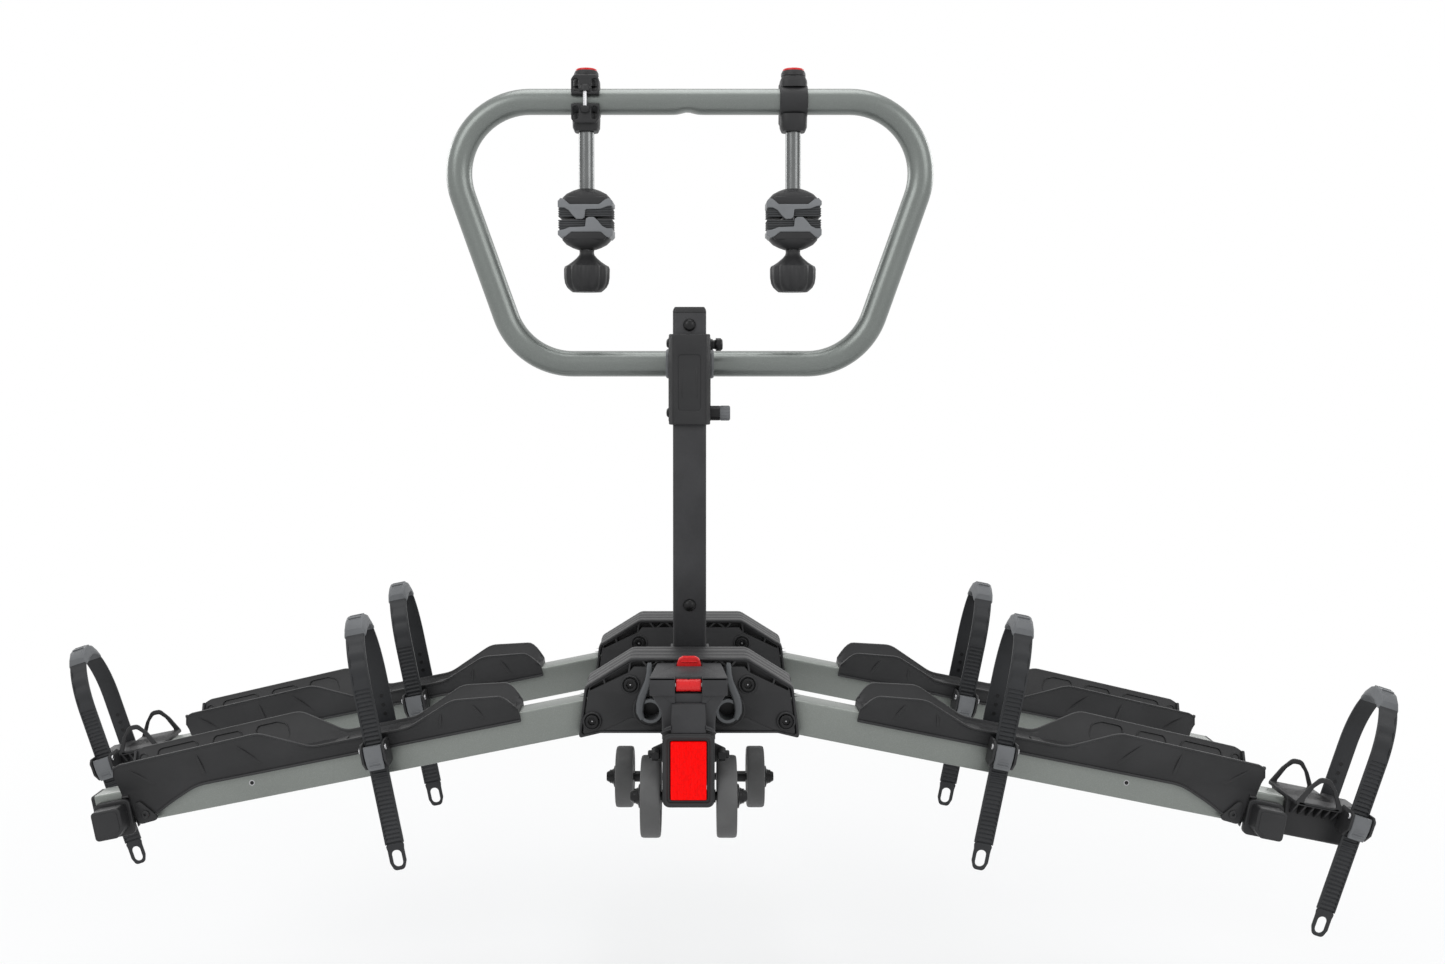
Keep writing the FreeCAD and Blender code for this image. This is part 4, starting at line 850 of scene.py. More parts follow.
class RACK_OT_straps(bpy.types.Operator):
    """Build the ratchet straps with their pads, buckles and levers"""
    bl_idname = "rack.straps"
    bl_label = "Wheel straps"

    def execute(self, context):
        bands, fittings = [], []
        for row in ROWS:
            for hand, side in SIDES:
                seat = strap_seat(row, hand, False)
                bands += placed(strap_parts(-side), seat)
                fittings += placed(pad_parts() + buckle_parts(-side), seat)
                piece(f"buckle_lever_{row}_{hand}", f"lever_{row}_{hand}_body",
                      placed(lever_parts(-side), seat), [f"lever_{row}_{hand}"])
        piece("tray_straps", "frame", bands, ["inner_straps"])
        piece("strap_pads_and_buckles", "frame", fittings, ["strap_fittings"])
        for row, hand, side in (("near", "right", 1), ("far", "left", -1)):
            seat = strap_seat(row, hand, True)
            rider = f"cradle_{hand}_body"
            piece(f"outer_strap_{hand}", rider, placed(strap_parts(-side), seat),
                  [f"strap_outer_{hand}"])
            piece(f"outer_strap_buckle_{hand}", rider,
                  placed(pad_parts() + buckle_parts(-side), seat), [f"strap_fittings_{hand}"])
            piece(f"buckle_lever_outer_{hand}", f"lever_outer_{hand}_body",
                  placed(lever_parts(-side), seat), [f"lever_outer_{hand}"])
        return {"FINISHED"}


# ------------------------------------------------------------------ outer cradles
def arch_band(side):
    """One thin arch wing of a cradle, with its feet."""
    outer = [(554, 19), (567, 42), (578, 55), (590, 55), (600, 42), (612, 19)]
    inner = [(563, 22), (573, 42), (580, 49), (588, 49), (595, 42), (604, 22)]
    mesh = plate(rounded(outer, [3, 12, 8, 8, 12, 3], 6), 3, 0.9,
                 [rounded(inner, [3, 12, 6, 6, 12, 3], 6)])
    return moved(mesh, shift(0, side * 36.5), FRONT)


def cradle_parts():
    """An outer cradle: arches, tray, shell, lid, ribs and sliding bar."""
    parts = [(arch_band(side), "moulded_black") for side in (-1, 1)]
    tray = plate(rounded(rectangle(56, 76), 5, 4), 4, 1.0)
    parts.append((moved(tray, shift(582.5, 0, 21.5)), "moulded_black"))
    shell = plate(rounded(rectangle(39, 47), 4, 4), 86, 1.2,
                  [rounded(rectangle(28, 36), 1, 2)], 3)
    parts.append((moved(shell, shift(597), SIDE), "moulded_black"))
    lid = plate(rounded(rectangle(38.6, 46.6), 4, 4), 4, 1.2, steps=3)
    parts.append((moved(lid, shift(638), SIDE), "moulded_black"))
    for side in (-1, 1):
        for k in range(6):
            u = 560 + k * 9.5
            rib = rounded([(side * 19, 2), (side * 36, 19.5), (side * 19, 19.5)], 1.5, 2)
            parts.append((moved(plate(rib, 2.4, 0.5), shift(u), SIDE), "moulded_black"))
    bar = plate(rounded(rectangle(26.4, 34.4), 2, 3), 313.5, 0.4,
                [rounded(rectangle(22.4, 30.4), 1, 2)])
    parts.append((moved(bar, shift(478.9), SIDE), "rail_coat"))
    return parts


class RACK_OT_cradles(bpy.types.Operator):
    """Build the two sliding outer cradles"""
    bl_idname = "rack.cradles"
    bl_label = "Outer cradles"

    def execute(self, context):
        for row, hand in (("near", "right"), ("far", "left")):
            piece(f"outer_cradle_{hand}", f"cradle_{hand}_body",
                  placed(cradle_parts(), wing(row, hand)), [f"cradle_{hand}"])
        return {"FINISHED"}


# ------------------------------------------------------------------ central housings
NEAR_LINE = middle("rail_near_left").y
FAR_LINE = middle("rail_far_left").y
HOUSE_HALF = 31.0
OUTLINE = [(20.4, 30.4), (20.4, 20), (102, 20), (127, 14), (120, 74), (67, 107)]
HOLLOW = [(23.6, 33.4), (23.6, 23), (101.4, 23), (123.6, 17.8), (116.9, 72.2), (66, 103.6)]
CORNERS = [0.6, 0.6, 4, 2.5, 9, 14]
ROOF = [(119.2, 58), (120, 74), (67, 107)]
UNDER_ROOF = [(116.2, 58), (116.9, 72.2), (66, 103.6)]
POCKET = [(63, 96.6), (68.5, 90), (113.5, 69), (114.6, 73), (65.6, 103)]
BOLTS = ((67.4, 76.5), (111.4, 34.1))
TUBES = (44.3, 47.5)


def both(radii):
    """Corner radii of a mirrored outline."""
    return list(radii) + list(reversed(radii))


def at_front(mesh, line, level):
    """Stand a flat piece up facing the viewer; level is its middle off the line."""
    return moved(mesh, shift(0, line + level), FRONT)


def bar_between(first, last, width, depth, line, level):
    """An upright rib across a pocket between two points of the face plane."""
    start, end = Vector(first), Vector(last)
    run = end - start
    mesh = plate(rounded(rectangle(run.length, width), 0.3, 1), depth, 0.3)
    centre = (start + end) / 2
    turn = math.degrees(math.atan2(run.y, run.x))
    return moved(mesh, shift(centre.x, line + level, centre.y), FRONT, spin(turn, "Z"))


def pocket_parts(line, face):
    """Floor, lower wall and ribs of the pocket band under the roof of a face."""
    floor = plate(rounded(mirrored([(64, 95), (68, 88.5), (112, 67), (118, 72), (66, 104)]), 1, 1),
                  2, 0.3)
    parts = [at_front(floor, line, face + 11.5)]
    wall = mirrored([(0.01, 94.6), (62.6, 94.6), (67.6, 88.4), (113.2, 67), (114, 69), (69, 90.4),
                     (63.6, 96.8), (0.01, 96.8)])
    parts.append(at_front(plate(rounded(wall, 0.5, 1), 10, 0.3), line, face + 6.5))
    spans = [((95, 71.5), (99.5, 86)), ((69.5, 88), (67.5, 103)), ((47, 95.5), (54, 104)),
             ((45, 95.5), (35, 104)), ((24, 95.5), (33, 104)), ((22, 95.5), (12, 104)),
             ((0, 95.5), (9, 104))]
    for low, high in spans:
        for side in (-1, 1):
            ends = ((side * low[0], low[1]), (side * high[0], high[1]))
            parts.append(bar_between(*ends, 2.2, 9, line, face + 6.5))
    return parts


def shell_rim(depth, bevel, line, level):
    """The walls of a shell, between its outline and its hollow."""
    outer, inner = (rounded(mirrored(half), both(CORNERS), 6) for half in (OUTLINE, HOLLOW))
    return at_front(plate(outer, depth, bevel, [inner], 3), line, level)


def roof_band(depth, line, level):
    """The part of the roof that runs back from a shell's rim."""
    upper, lower = (rounded(mirrored(half), both([0.5, 9, 14]), 6) for half in (ROOF, UNDER_ROOF))
    return at_front(plate(upper + lower[::-1], depth, 0.8), line, level)


def face_plate(holes, line, level):
    """The flat face that closes a shell's hollow."""
    inner = [(x - 1.2, z) for x, z in HOLLOW]
    return at_front(plate(rounded(mirrored(inner), both(CORNERS), 6), 3, 0.5, holes), line, level)


def tube_holes():
    """Where the two side tubes come through a face."""
    return [circle(15.0, side * TUBES[0], TUBES[1], 36) for side in (-1, 1)]


def bolt_rims(line, face, side):
    """Raised rims round the two bolts of one side."""
    out = []
    for x, z in BOLTS:
        rim = lathe([(8.0, -1), (11, -1), (11, 1.6), (10.2, 2.4), (9.2, 2.4), (8.2, 1.4)], 36)
        out.append(moved(rim, shift(side * x, line + face + 1.4, z), spin(90, "X")))
    return out


def gusset(line, face, side):
    """The thickened lower corner of the face, cut round the side tube's boss."""
    rise = [math.radians(-30 - 15 * k) for k in range(9)]
    arc = [(side * (TUBES[0] + 19 * math.cos(a)), TUBES[1] + 19 * math.sin(a)) for a in rise]
    outline = [(side * 98, 23.4), (side * 66, 38), (side * 60.5, 38), *arc, (side * 30, 23.4)]
    return at_front(plate(outline, 1.6, 0.3), line, face + 1.1)


def house_front(line):
    """The front shell: rim, face with its pockets, bolt rims and tube bosses."""
    face = -HOUSE_HALF
    skins = [shell_rim(16, 1.5, line, face + 8), roof_band(14.6, line, face + 23.4)]
    pocket = rounded(mirrored(POCKET), both([2, 1.5, 0.8, 0.8, 6]), 4)
    skins.append(face_plate([pocket, *tube_holes()], line, face + 2.9))
    skins += pocket_parts(line, face)
    for side in (-1, 1):
        skins += bolt_rims(line, face, side)
        boss = lathe([(15.0, -1), (20.5, -1), (20.5, 1), (19.6, 1.8), (18.4, 1.8), (18, 1.0),
                      (17, 1.0), (16.7, 2.4), (15.6, 2.6), (15.0, 1.6)], 44)
        skins.append(moved(boss, shift(side * TUBES[0], line + face + 1.4, TUBES[1]),
                           spin(90, "X")))
        skins.append(gusset(line, face, side))
    return [(mesh, "moulded_black") for mesh in skins]


def house_back(line):
    """The rear shell: rim, roof, face and stiffening ribs."""
    parts = [shell_rim(12, 1.2, line, HOUSE_HALF - 6), roof_band(18.4, line, HOUSE_HALF - 21.5),
             face_plate(tube_holes(), line, HOUSE_HALF - 2.4)]
    for x in (-92, -72, -28, 28, 72, 92):
        low, high = 25, 101 - max(abs(x) - 66, 0) * 0.62
        parts.append(bar_between((x, low), (x, high), 2.4, 6, line, HOUSE_HALF - 6))
    return [(mesh, "moulded_black") for mesh in parts]


HEX = circle(4.6, steps=6)


def socket_bolt(radius, high):
    """A socket head with its hexagon recess, its seat at Z 0; dark recess, and a small bright steel
    dome in its middle as a painted highlight for the glint there.
    """
    head = plate(circle(radius, steps=32), high, 0.9, [HEX], 3)
    floor = lathe([(0, 0), (5.4, 0), (5.4, 0.8), (0, 0.8)], 24)
    # painted highlight: a small bright steel dome where the recess shows a glint
    pin = lathe([(0, 0.6), (1.3, 0.6), (1.2, 1.3), (0.7, 1.9), (0, 2.1)], 12)
    return [(moved(head, shift(0, 0, high / 2)), "bolt_black"), (floor, "bolt_black"),
            (pin, "bright_steel")]


def hex_nut(flats, high, hole=0.0):
    """A hexagon nut or head about its own middle."""
    outline = circle(flats / 2 / math.cos(math.pi / 6), steps=6)
    inner = [circle(hole, steps=20)] if hole else []
    return plate(rounded(outline, 0.8, 2), high, 0.7, inner)


class RACK_OT_housings(bpy.types.Operator):
    """Build the two central housings, front and back shells"""
    bl_idname = "rack.housings"
    bl_label = "Central housings"

    def execute(self, context):
        for row, line in (("near", NEAR_LINE), ("far", FAR_LINE)):
            piece(f"housing_{row}", "frame", house_front(line), [f"{row}_housing_front"])
        piece("housing_rear_shells", "frame", house_back(NEAR_LINE) + house_back(FAR_LINE),
              ["housing_backs"])
        return {"FINISHED"}


class RACK_OT_bolts(bpy.types.Operator):
    """Build the housing bolts, stop bolts, foot bolts and the latch pin"""
    bl_idname = "rack.bolts"
    bl_label = "Bolts"

    def execute(self, context):
        parts = []
        for line in (NEAR_LINE, FAR_LINE):
            for side in (-1, 1):
                for x, z in BOLTS:
                    seat = shift(side * x, line - HOUSE_HALF + 1.2, z) @ spin(90, "X")
                    parts += placed(socket_bolt(7.6, 4.2), seat)
                    rod = lathe([(0, 0), (4, 0), (4, 64), (3.4, 65), (0, 65)], 20)
                    parts.append((moved(rod, shift(side * x, line - HOUSE_HALF + 2, z),
                                        spin(-90, "X")), "bolt_black"))
                    nut = moved(hex_nut(12.6, 5.4, 4.2), shift(side * x, line + 33.8, z),
                                spin(90, "X"))
                    parts.append((nut, "bolt_black"))
        mast = middle("mast")
        for z in (490.4, 153.6):
            dome = lathe([(0, -3), (7.5, -3), (7.5, 0.6), (6.4, 3.2), (4.2, 4.8), (0, 5.4)], 32)
            parts.append((moved(dome, shift(0, mast.y - 20, z), spin(90, "X")), "bolt_black"))
            nut = hex_nut(12, 4, 3)
            parts.append((moved(nut, shift(0, mast.y + 22, z), spin(90, "X")), "bolt_black"))
        for side in (-1, 1):
            for z in (10, 74):
                nut = hex_nut(12, 5)
                parts.append((moved(nut, shift(side * 25.8, mast.y, z), spin(90, "Y")),
                              "bolt_black"))
        pin = lathe([(0, -28), (3, -28), (3, 28), (0, 28)], 20)
        parts.append((moved(pin, shift(0, middle("release_lever").y - 23.8, 92), spin(90, "Y")),
                      "bright_steel"))
        piece("bolts", "frame", parts, ["rack_bolts"])
        return {"FINISHED"}


# ------------------------------------------------------------------ beam, tubes, latch head
class RACK_OT_beam(bpy.types.Operator):
    """Build the main beam, its pivot bush and the side tubes"""
    bl_idname = "rack.beam"
    bl_label = "Main beam and side tubes"

    def execute(self, context):
        low, high = box_mm("main_beam")
        outer = rounded(rectangle(high.x - low.x, high.z - low.z), 4, 5)
        inner = rounded(rectangle(high.x - low.x - 6, high.z - low.z - 6), 2, 3)
        beam = plate(outer, high.y - low.y, 0.4, [inner])
        parts = [(moved(beam, shift(0, (low.y + high.y) / 2), FRONT), "powder_black")]
        piece("beam", "frame", parts, ["main_beam"])
        bush = middle("pivot_bush")
        ring = lathe([(8.1, -20), (12, -20), (12, 20), (8.1, 20)], 32)
        piece("tilt_bush", "frame", [(moved(ring, shift(*bush), spin(90, "Y")), "bright_steel")],
              ["pivot_bush"])
        parts = []
        low, high = box_mm("side_tubes")
        for side in (-1, 1):
            reach = high.y - low.y
            tube = lathe([(10.4, 0), (13.6, 0), (14, 0.5), (14, reach), (10.4, reach)], 40)
            for vertex in tube.vertices:
                if vertex.co.z < 1:
                    vertex.co.z += 0.22 * (side * vertex.co.x + 14) * 0.6
            parts.append((moved(tube, shift(side * TUBES[0], low.y, TUBES[1]), spin(-90, "X")),
                          "tube_grey"))
            for depth in (24, reach - 6):
                plug = lathe([(0, depth), (12.2, depth), (12.2, depth + 2), (0, depth + 2)], 32)
                parts.append((moved(plug, shift(side * TUBES[0], low.y, TUBES[1]),
                                    spin(-90, "X")), "bolt_black"))
            path = [Vector((side * x, low.y + y, z)) for x, y, z in (
                (53.2, 4.5, 38), (56.2, 4.2, 46), (56.0, 4.0, 55), (53.6, 3.8, 64),
                (50.0, 3.4, 73), (46.8, 3.2, 82), (45.4, 3.0, 91), (45.2, 3.0, 99),
                (45.2, 3.0, 103))]
            blade = sweep(path, rounded(rectangle(9.6, 6), 2.4, 4),
                          scale=[0.6, 0.9, 1.0, 1.0, 0.92, 0.8, 0.7, 0.66, 0.45])
            parts.append((blade, "tube_grey"))
        piece("side_rails", "frame", parts, ["side_tubes"])
        return {"FINISHED"}


def head_parts():
    """The latch head: cover, cheeks, tapered neck, stepped pad and collar beads."""
    low, high = box_mm("latch_head")
    front, back = low.y, high.y
    top = [(-43, front), (-14.8, front), (-14.8, front + 7), (14.8, front + 7), (14.8, front),
           (43, front), (36.5, back), (-36.5, back)]
    parts = []
    slot = [(-14.8, front + 55), (14.8, front + 55), (14.8, back - 3), (-14.8, back - 3)]
    cover = plate(rounded(top, [1.6, 0.5, 0.5, 0.5, 0.5, 1.6, 4, 4], 3), 3.4, 0.9,
                  [rounded(slot, 0.6, 2)], 3)
    parts.append(moved(cover, shift(0, 0, high.z - 1.7)))
    for side in (-1, 1):
        cheek = [(14.8, front), (43, front), (36.5, back), (14.8, back)]
        cheek = [(side * x, y) for x, y in cheek]
        mesh = plate(rounded(cheek, [0.8, 1.6, 4, 0.8], 3), high.z - 82, 0.9)
        parts.append(moved(mesh, shift(0, 0, (high.z + 82) / 2 - 0.1)))
    rear = block(30, 3, high.z - 82, 0.5, 0.6)
    parts.append(moved(rear, shift(0, back - 1.6, (high.z + 82) / 2)))
    rings = []
    for z, half, y0, y1 in ((83.4, 41.0, front + 4.4, back - 2), (80.6, 40.6, front + 4.8, back - 2),
                            (77, 38.5, front + 5.4, back - 2.5), (66, 32.2, front + 7.2, back - 7),
                            (60, 30.0, front + 8.4, back - 12), (46, 29.4, front + 9, back - 16),
                            (31, 29.4, front + 9, back - 20)):
        outline = rounded([(-half, y0), (half, y0), (half, y1), (-half, y1)], 2.6, 3)
        rings.append([Vector((p[0], p[1], z)) for p in outline])
    parts.append(grid_mesh(rings))
    pad = []
    for z, half, out in ((72.6, 17.6, 4.4), (71.6, 18.6, 3.2), (61.8, 18.9, 0.9), (60.4, 19, 0.2),
                         (43.5, 19.2, -0.6), (41.2, 19.2, -0.8)):
        y0 = front + out
        outline = rounded([(-half, y0), (half, y0), (half, front + 14), (-half, front + 14)], 1.4, 3)
        pad.append([Vector((p[0], p[1], z)) for p in outline])
    parts.append(grid_mesh(pad))
    for side in (-1, 1):
        for level, reach in ((44.2, 29.6), (46.6, 28.2)):
            path = [Vector((side * x, front + y, z)) for x, y, z in (
                (19, -0.2, level + 1.6), (22, -0.4, level + 0.6), (reach - 2, -0.4, level - 1.6),
                (reach, 0.6, level - 4))]
            parts.append(sweep(path, circle(1.3, steps=10)))
        web = [(side * x, z) for x, z in ((14.8, 84), (30, 84), (19, 73), (14.8, 73))]
        parts.append(moved(plate(rounded(web, 0.8, 2), 3, 0.8), shift(0, front + 5.2), FRONT))
    return [(mesh, "powder_black") for mesh in parts]


def release_parts():
    """The red roller in the head's mouth, its link and the thumb tab behind the head."""
    low, high = box_mm("release_lever")
    axis_y, axis_z = low.y + 7.5, 92.0
    roller = lathe([(3.2, -13.8), (7, -13.8), (7.5, -13), (7.3, -5), (7.1, 0), (7.3, 5), (7.5, 13),
                    (7, 13.8), (3.2, 13.8)], 36)
    parts = [(moved(roller, shift(0, axis_y, axis_z), spin(90, "Y")), "red_gloss")]
    link = block(22, 44, 3, 0.6, 1)
    parts.append((moved(link, shift(0, axis_y + 24, 86.4)), "red_gloss"))
    tab = [(-13.8, 85), (13.8, 85), (13.8, 103), (11.5, 109.5), (7, 111.9), (-7, 111.9),
           (-11.5, 109.5), (-13.8, 103)]
    mesh = plate(rounded(tab, [1, 1, 5, 5, 4, 4, 5, 5], 5), 6, 1.8, steps=4)
    parts.append((moved(mesh, shift(0, high.y - 3.4), FRONT), "red_gloss"))
    ridge = block(18, 1.6, 1.6, 0.6, 0.6)
    parts.append((moved(ridge, shift(0, high.y - 6.6, 106)), "red_gloss"))
    stud = lathe([(0, -3), (2.2, -3), (2.2, 2.4), (1.2, 3.2), (0, 3.2)], 16)
    parts.append((moved(stud, shift(0, axis_y - 1, axis_z + 5.6)), "bolt_black"))
    return parts


class RACK_OT_latch(bpy.types.Operator):
    """Build the latch head, the red release lever and the reflector"""
    bl_idname = "rack.latch"
    bl_label = "Latch head and reflector"

    def execute(self, context):
        piece("latch_housing", "frame", head_parts(), ["latch_head"])
        piece("release_tab", "release_body", release_parts(), ["release_lever"])
        low, high = box_mm("reflector_frame")
        wide, tall = high.x - low.x, high.z - low.z
        parts = []
        for width, height, hole_w, hole_h, y0, y1, corner, bevel in (
                (wide, tall, 50, 74, low.y + 1.5, high.y, 8, 1.6),
                (wide - 3, tall - 3, 46.5, 70.5, low.y, low.y + 9, 7, 2.2),
                (51, 75, 40.4, 65.4, low.y + 2.6, low.y + 20, 4, 1.4)):
            mesh = plate(rounded(rectangle(width, height), corner, 6), y1 - y0, bevel,
                         [rounded(rectangle(hole_w, hole_h), corner * 0.5, 5)], 4)
            parts.append((moved(mesh, shift(0, (y0 + y1) / 2), FRONT), "moulded_black"))
        inner = plate(rounded(rectangle(52, 76), 4, 3), 3, 0.4,
                      [rounded(rectangle(41, 61), 3, 3)])
        parts.append((moved(inner, shift(0, high.y - 1.6), FRONT), "moulded_black"))
        piece("reflector_surround", "frame", parts, ["reflector_frame"])
        low, high = box_mm("reflector")
        panel = plate(rounded(rectangle(high.x - low.x, high.z - low.z), 1.6, 4),
                      high.y - low.y, 0.6, steps=3)
        parts = [(moved(panel, shift(0, (low.y + high.y) / 2), FRONT), "reflector_red_glow")]
        for k in range(13):
            flute = block(0.8, 0.5, high.z - low.z - 5, 0.2, 0.2)
            parts.append((moved(flute, shift(-15.6 + 2.6 * k, low.y + 0.02, 0)), "reflector_red_glow"))
        piece("rear_reflector", "frame", parts, ["reflector"])
        return {"FINISHED"}


# ------------------------------------------------------------------ wheels
def wheel_mesh(radius, width):
    """A solid wheel with a rounded tread, a sunk web and a raised hub disc on each side."""
    half = width / 2
    side = [(5.2, half - 0.5), (14.5, half - 0.7), (16.5, half - 2.0), (18.5, half - 2.4),
            (radius - 8, half - 2.4), (radius - 6, half - 0.6), (radius - 3.2, half),
            (radius - 1.2, half - 0.6), (radius - 0.2, half - 2.4), (radius, half - 5)]
    profile = side + [(radius, 0)] + [(r, -z) for r, z in reversed(side)]
    return lathe(profile, 72)


def cap_mesh(side):
    """The cone cap at a wheel's outer face."""
    mesh = lathe([(0, 0), (13.0, 0), (13.5, 1.0), (13, 2.4), (9.6, 3.4), (9, 4.4), (6.0, 10.8),
                  (5, 12), (0, 12.0)], 32)
    return moved(mesh, spin(90 * side, "Y"))


class RACK_OT_wheels(bpy.types.Operator):
    """Build the transport wheels with their axles, caps and brackets"""
    bl_idname = "rack.wheels"
    bl_label = "Transport wheels"

    def execute(self, context):
        caps, axles = [], []
        for row in ROWS:
            spots = []
            for hand, side in SIDES:
                name = f"wheel_{row}_{hand}"
                low, high = box_mm(name)
                mid = (low + high) / 2
                spots.append(mid)
                radius, width = (high.z - low.z) / 2, high.x - low.x
                mesh = moved(wheel_mesh(radius, width), shift(*mid), spin(90, "Y"))
                piece(f"{name}_tread", f"{name}_body", [(mesh, "wheel_grey")], [name])
                out = side * (abs(mid.x) + width / 2 + 0.2)
                caps.append((moved(cap_mesh(side), shift(out, mid.y, mid.z)), "bolt_black"))
                for k in range(6):
                    fin = moved(block(1.2, 2.6, 6, 0.4, 0.3), shift(7.6, 0, 5.2))
                    fin = moved(fin, shift(out, mid.y, mid.z), spin(90 * side, "Y"),
                                spin(60 * k, "Z"))
                    caps.append((fin, "bolt_black"))
            reach = abs(spots[0].x) + 8
            radius = 5.0 if row == "near" else 4.5
            rod = lathe([(0, -reach), (radius, -reach), (radius, reach), (0, reach)], 24)
            axles.append((moved(rod, shift(0, spots[0].y, spots[0].z), spin(90, "Y")),
                          "bolt_black"))
            for side in (-1, 1):
                inner = side * (abs(spots[0].x) - 12.2 if row == "far" else 27.4)
                long = 30 if row == "far" else 6.2
                sleeve = lathe([(radius, 0), (radius + 2.2, 0), (radius + 2.2, long), (radius, long)],
                               28)
                start = inner - side * long if row == "far" else side * 24
                axles.append((moved(sleeve, shift(start, spots[0].y, spots[0].z),
                                    spin(90 * side, "Y")), "bolt_black"))
        piece("wheel_end_caps", "frame", caps, ["axle_caps"])
        piece("wheel_rods", "frame", axles, ["wheel_axles"])
        near, far = middle("wheel_near_left"), middle("wheel_far_left")
        mast = middle("mast")
        parts = []
        for side in (-1, 1):
            for outline, hole in (
                    ([(near.y - 11, near.z - 11), (near.y + 11, near.z - 11),
                      (near.y + 40, 20), (near.y - 18, 20)], near),
                    ([(far.y - 10, far.z - 10), (far.y + 10, far.z - 10),
                      (far.y + 26, 12), (far.y - 26, 12)], far),
                    ([(mast.y - 25, -22), (mast.y + 25, -22), (mast.y + 25, 98),
                      (mast.y - 25, 98)], None)):
                holes = [circle(5.2, hole.y, hole.z, 24)] if hole else []
                mesh = plate(rounded(outline, [8, 8, 5, 5] if hole else 5, 5), 3, 0.5, holes)
                parts.append((moved(mesh, shift(side * 21.9), SIDE), "powder_black"))
            wing_plate = rounded([(side * x, z) for x, z in ((23.5, 27), (40.5, 19), (41.5, 9),
                                                            (30, 3.4), (23.5, 3.4))], 2, 3)
            parts.append((moved(plate(wing_plate, 4, 0.8), shift(0, low_y("reflector_frame") + 24),
                                FRONT), "moulded_black"))
            bolt = plate(circle(7.4, steps=6), 9, 1.2, steps=3)
            parts.append((moved(bolt, shift(side * 36.5, low_y("reflector_frame") + 17, 14),
                                spin(90, "Y")), "bolt_black"))
            stud = lathe([(0, 0), (4.4, 0), (4.4, 3), (3.4, 4), (0, 4)], 24)
            parts.append((moved(stud, shift(side * 41, low_y("reflector_frame") + 17, 14),
                                spin(90 * side, "Y")), "bolt_black"))
        clip = plate(rounded(rectangle(46.6, 27, 0, 84.5), 2, 3), 3.2, 0.7)
        parts.append((moved(clip, shift(0, mast.y - 22), FRONT), "powder_black"))
        piece("brackets", "frame", parts, ["steel_brackets"])
        return {"FINISHED"}


# ------------------------------------------------------------------ mast, slider and hoop
HOOP_LINE = middle("hoop").y
HOOP_RADIUS = (box_mm("hoop")[1].y - box_mm("hoop")[0].y) / 2


class RACK_OT_mast(bpy.types.Operator):
    """Build the mast with its open cap"""
    bl_idname = "rack.mast"
    bl_label = "Mast"

    def execute(self, context):
        low, high = box_mm("mast")
        mid = (low + high) / 2
        wide = high.x - low.x
        inner = rounded(rectangle(wide - 6, wide - 6), 2.4, 3)
        tube = plate(rounded(rectangle(wide, wide), 4.2, 6), high.z - low.z, 0.4, [inner])
        piece("mast_tube", "frame", [(moved(tube, shift(*mid)), "powder_black")], ["mast"])
        cap_top = box_mm("mast_cap")[1].z
        rings = []
        for z, half in ((505.2, 20), (507, 20), (509.6, 19.2), (512, 17.6), (512, 15.2),
                        (508, 14.6), (494, 14.2)):
            outline = rounded(rectangle(half * 2, half * 2), 4.0, 5)
            rings.append([Vector((p[0], mid.y + p[1], min(z, cap_top))) for p in outline])
        cap = grid_mesh(rings)
        pin = lathe([(0, -13), (2.2, -13), (2.2, 13), (0, 13)], 16)
        parts = [(cap, "moulded_black"),
                 (moved(pin, shift(0, mid.y - 4, 507), spin(90, "Y")), "bright_steel")]
        piece("mast_top", "frame", parts, ["mast_cap"])
        return {"FINISHED"}


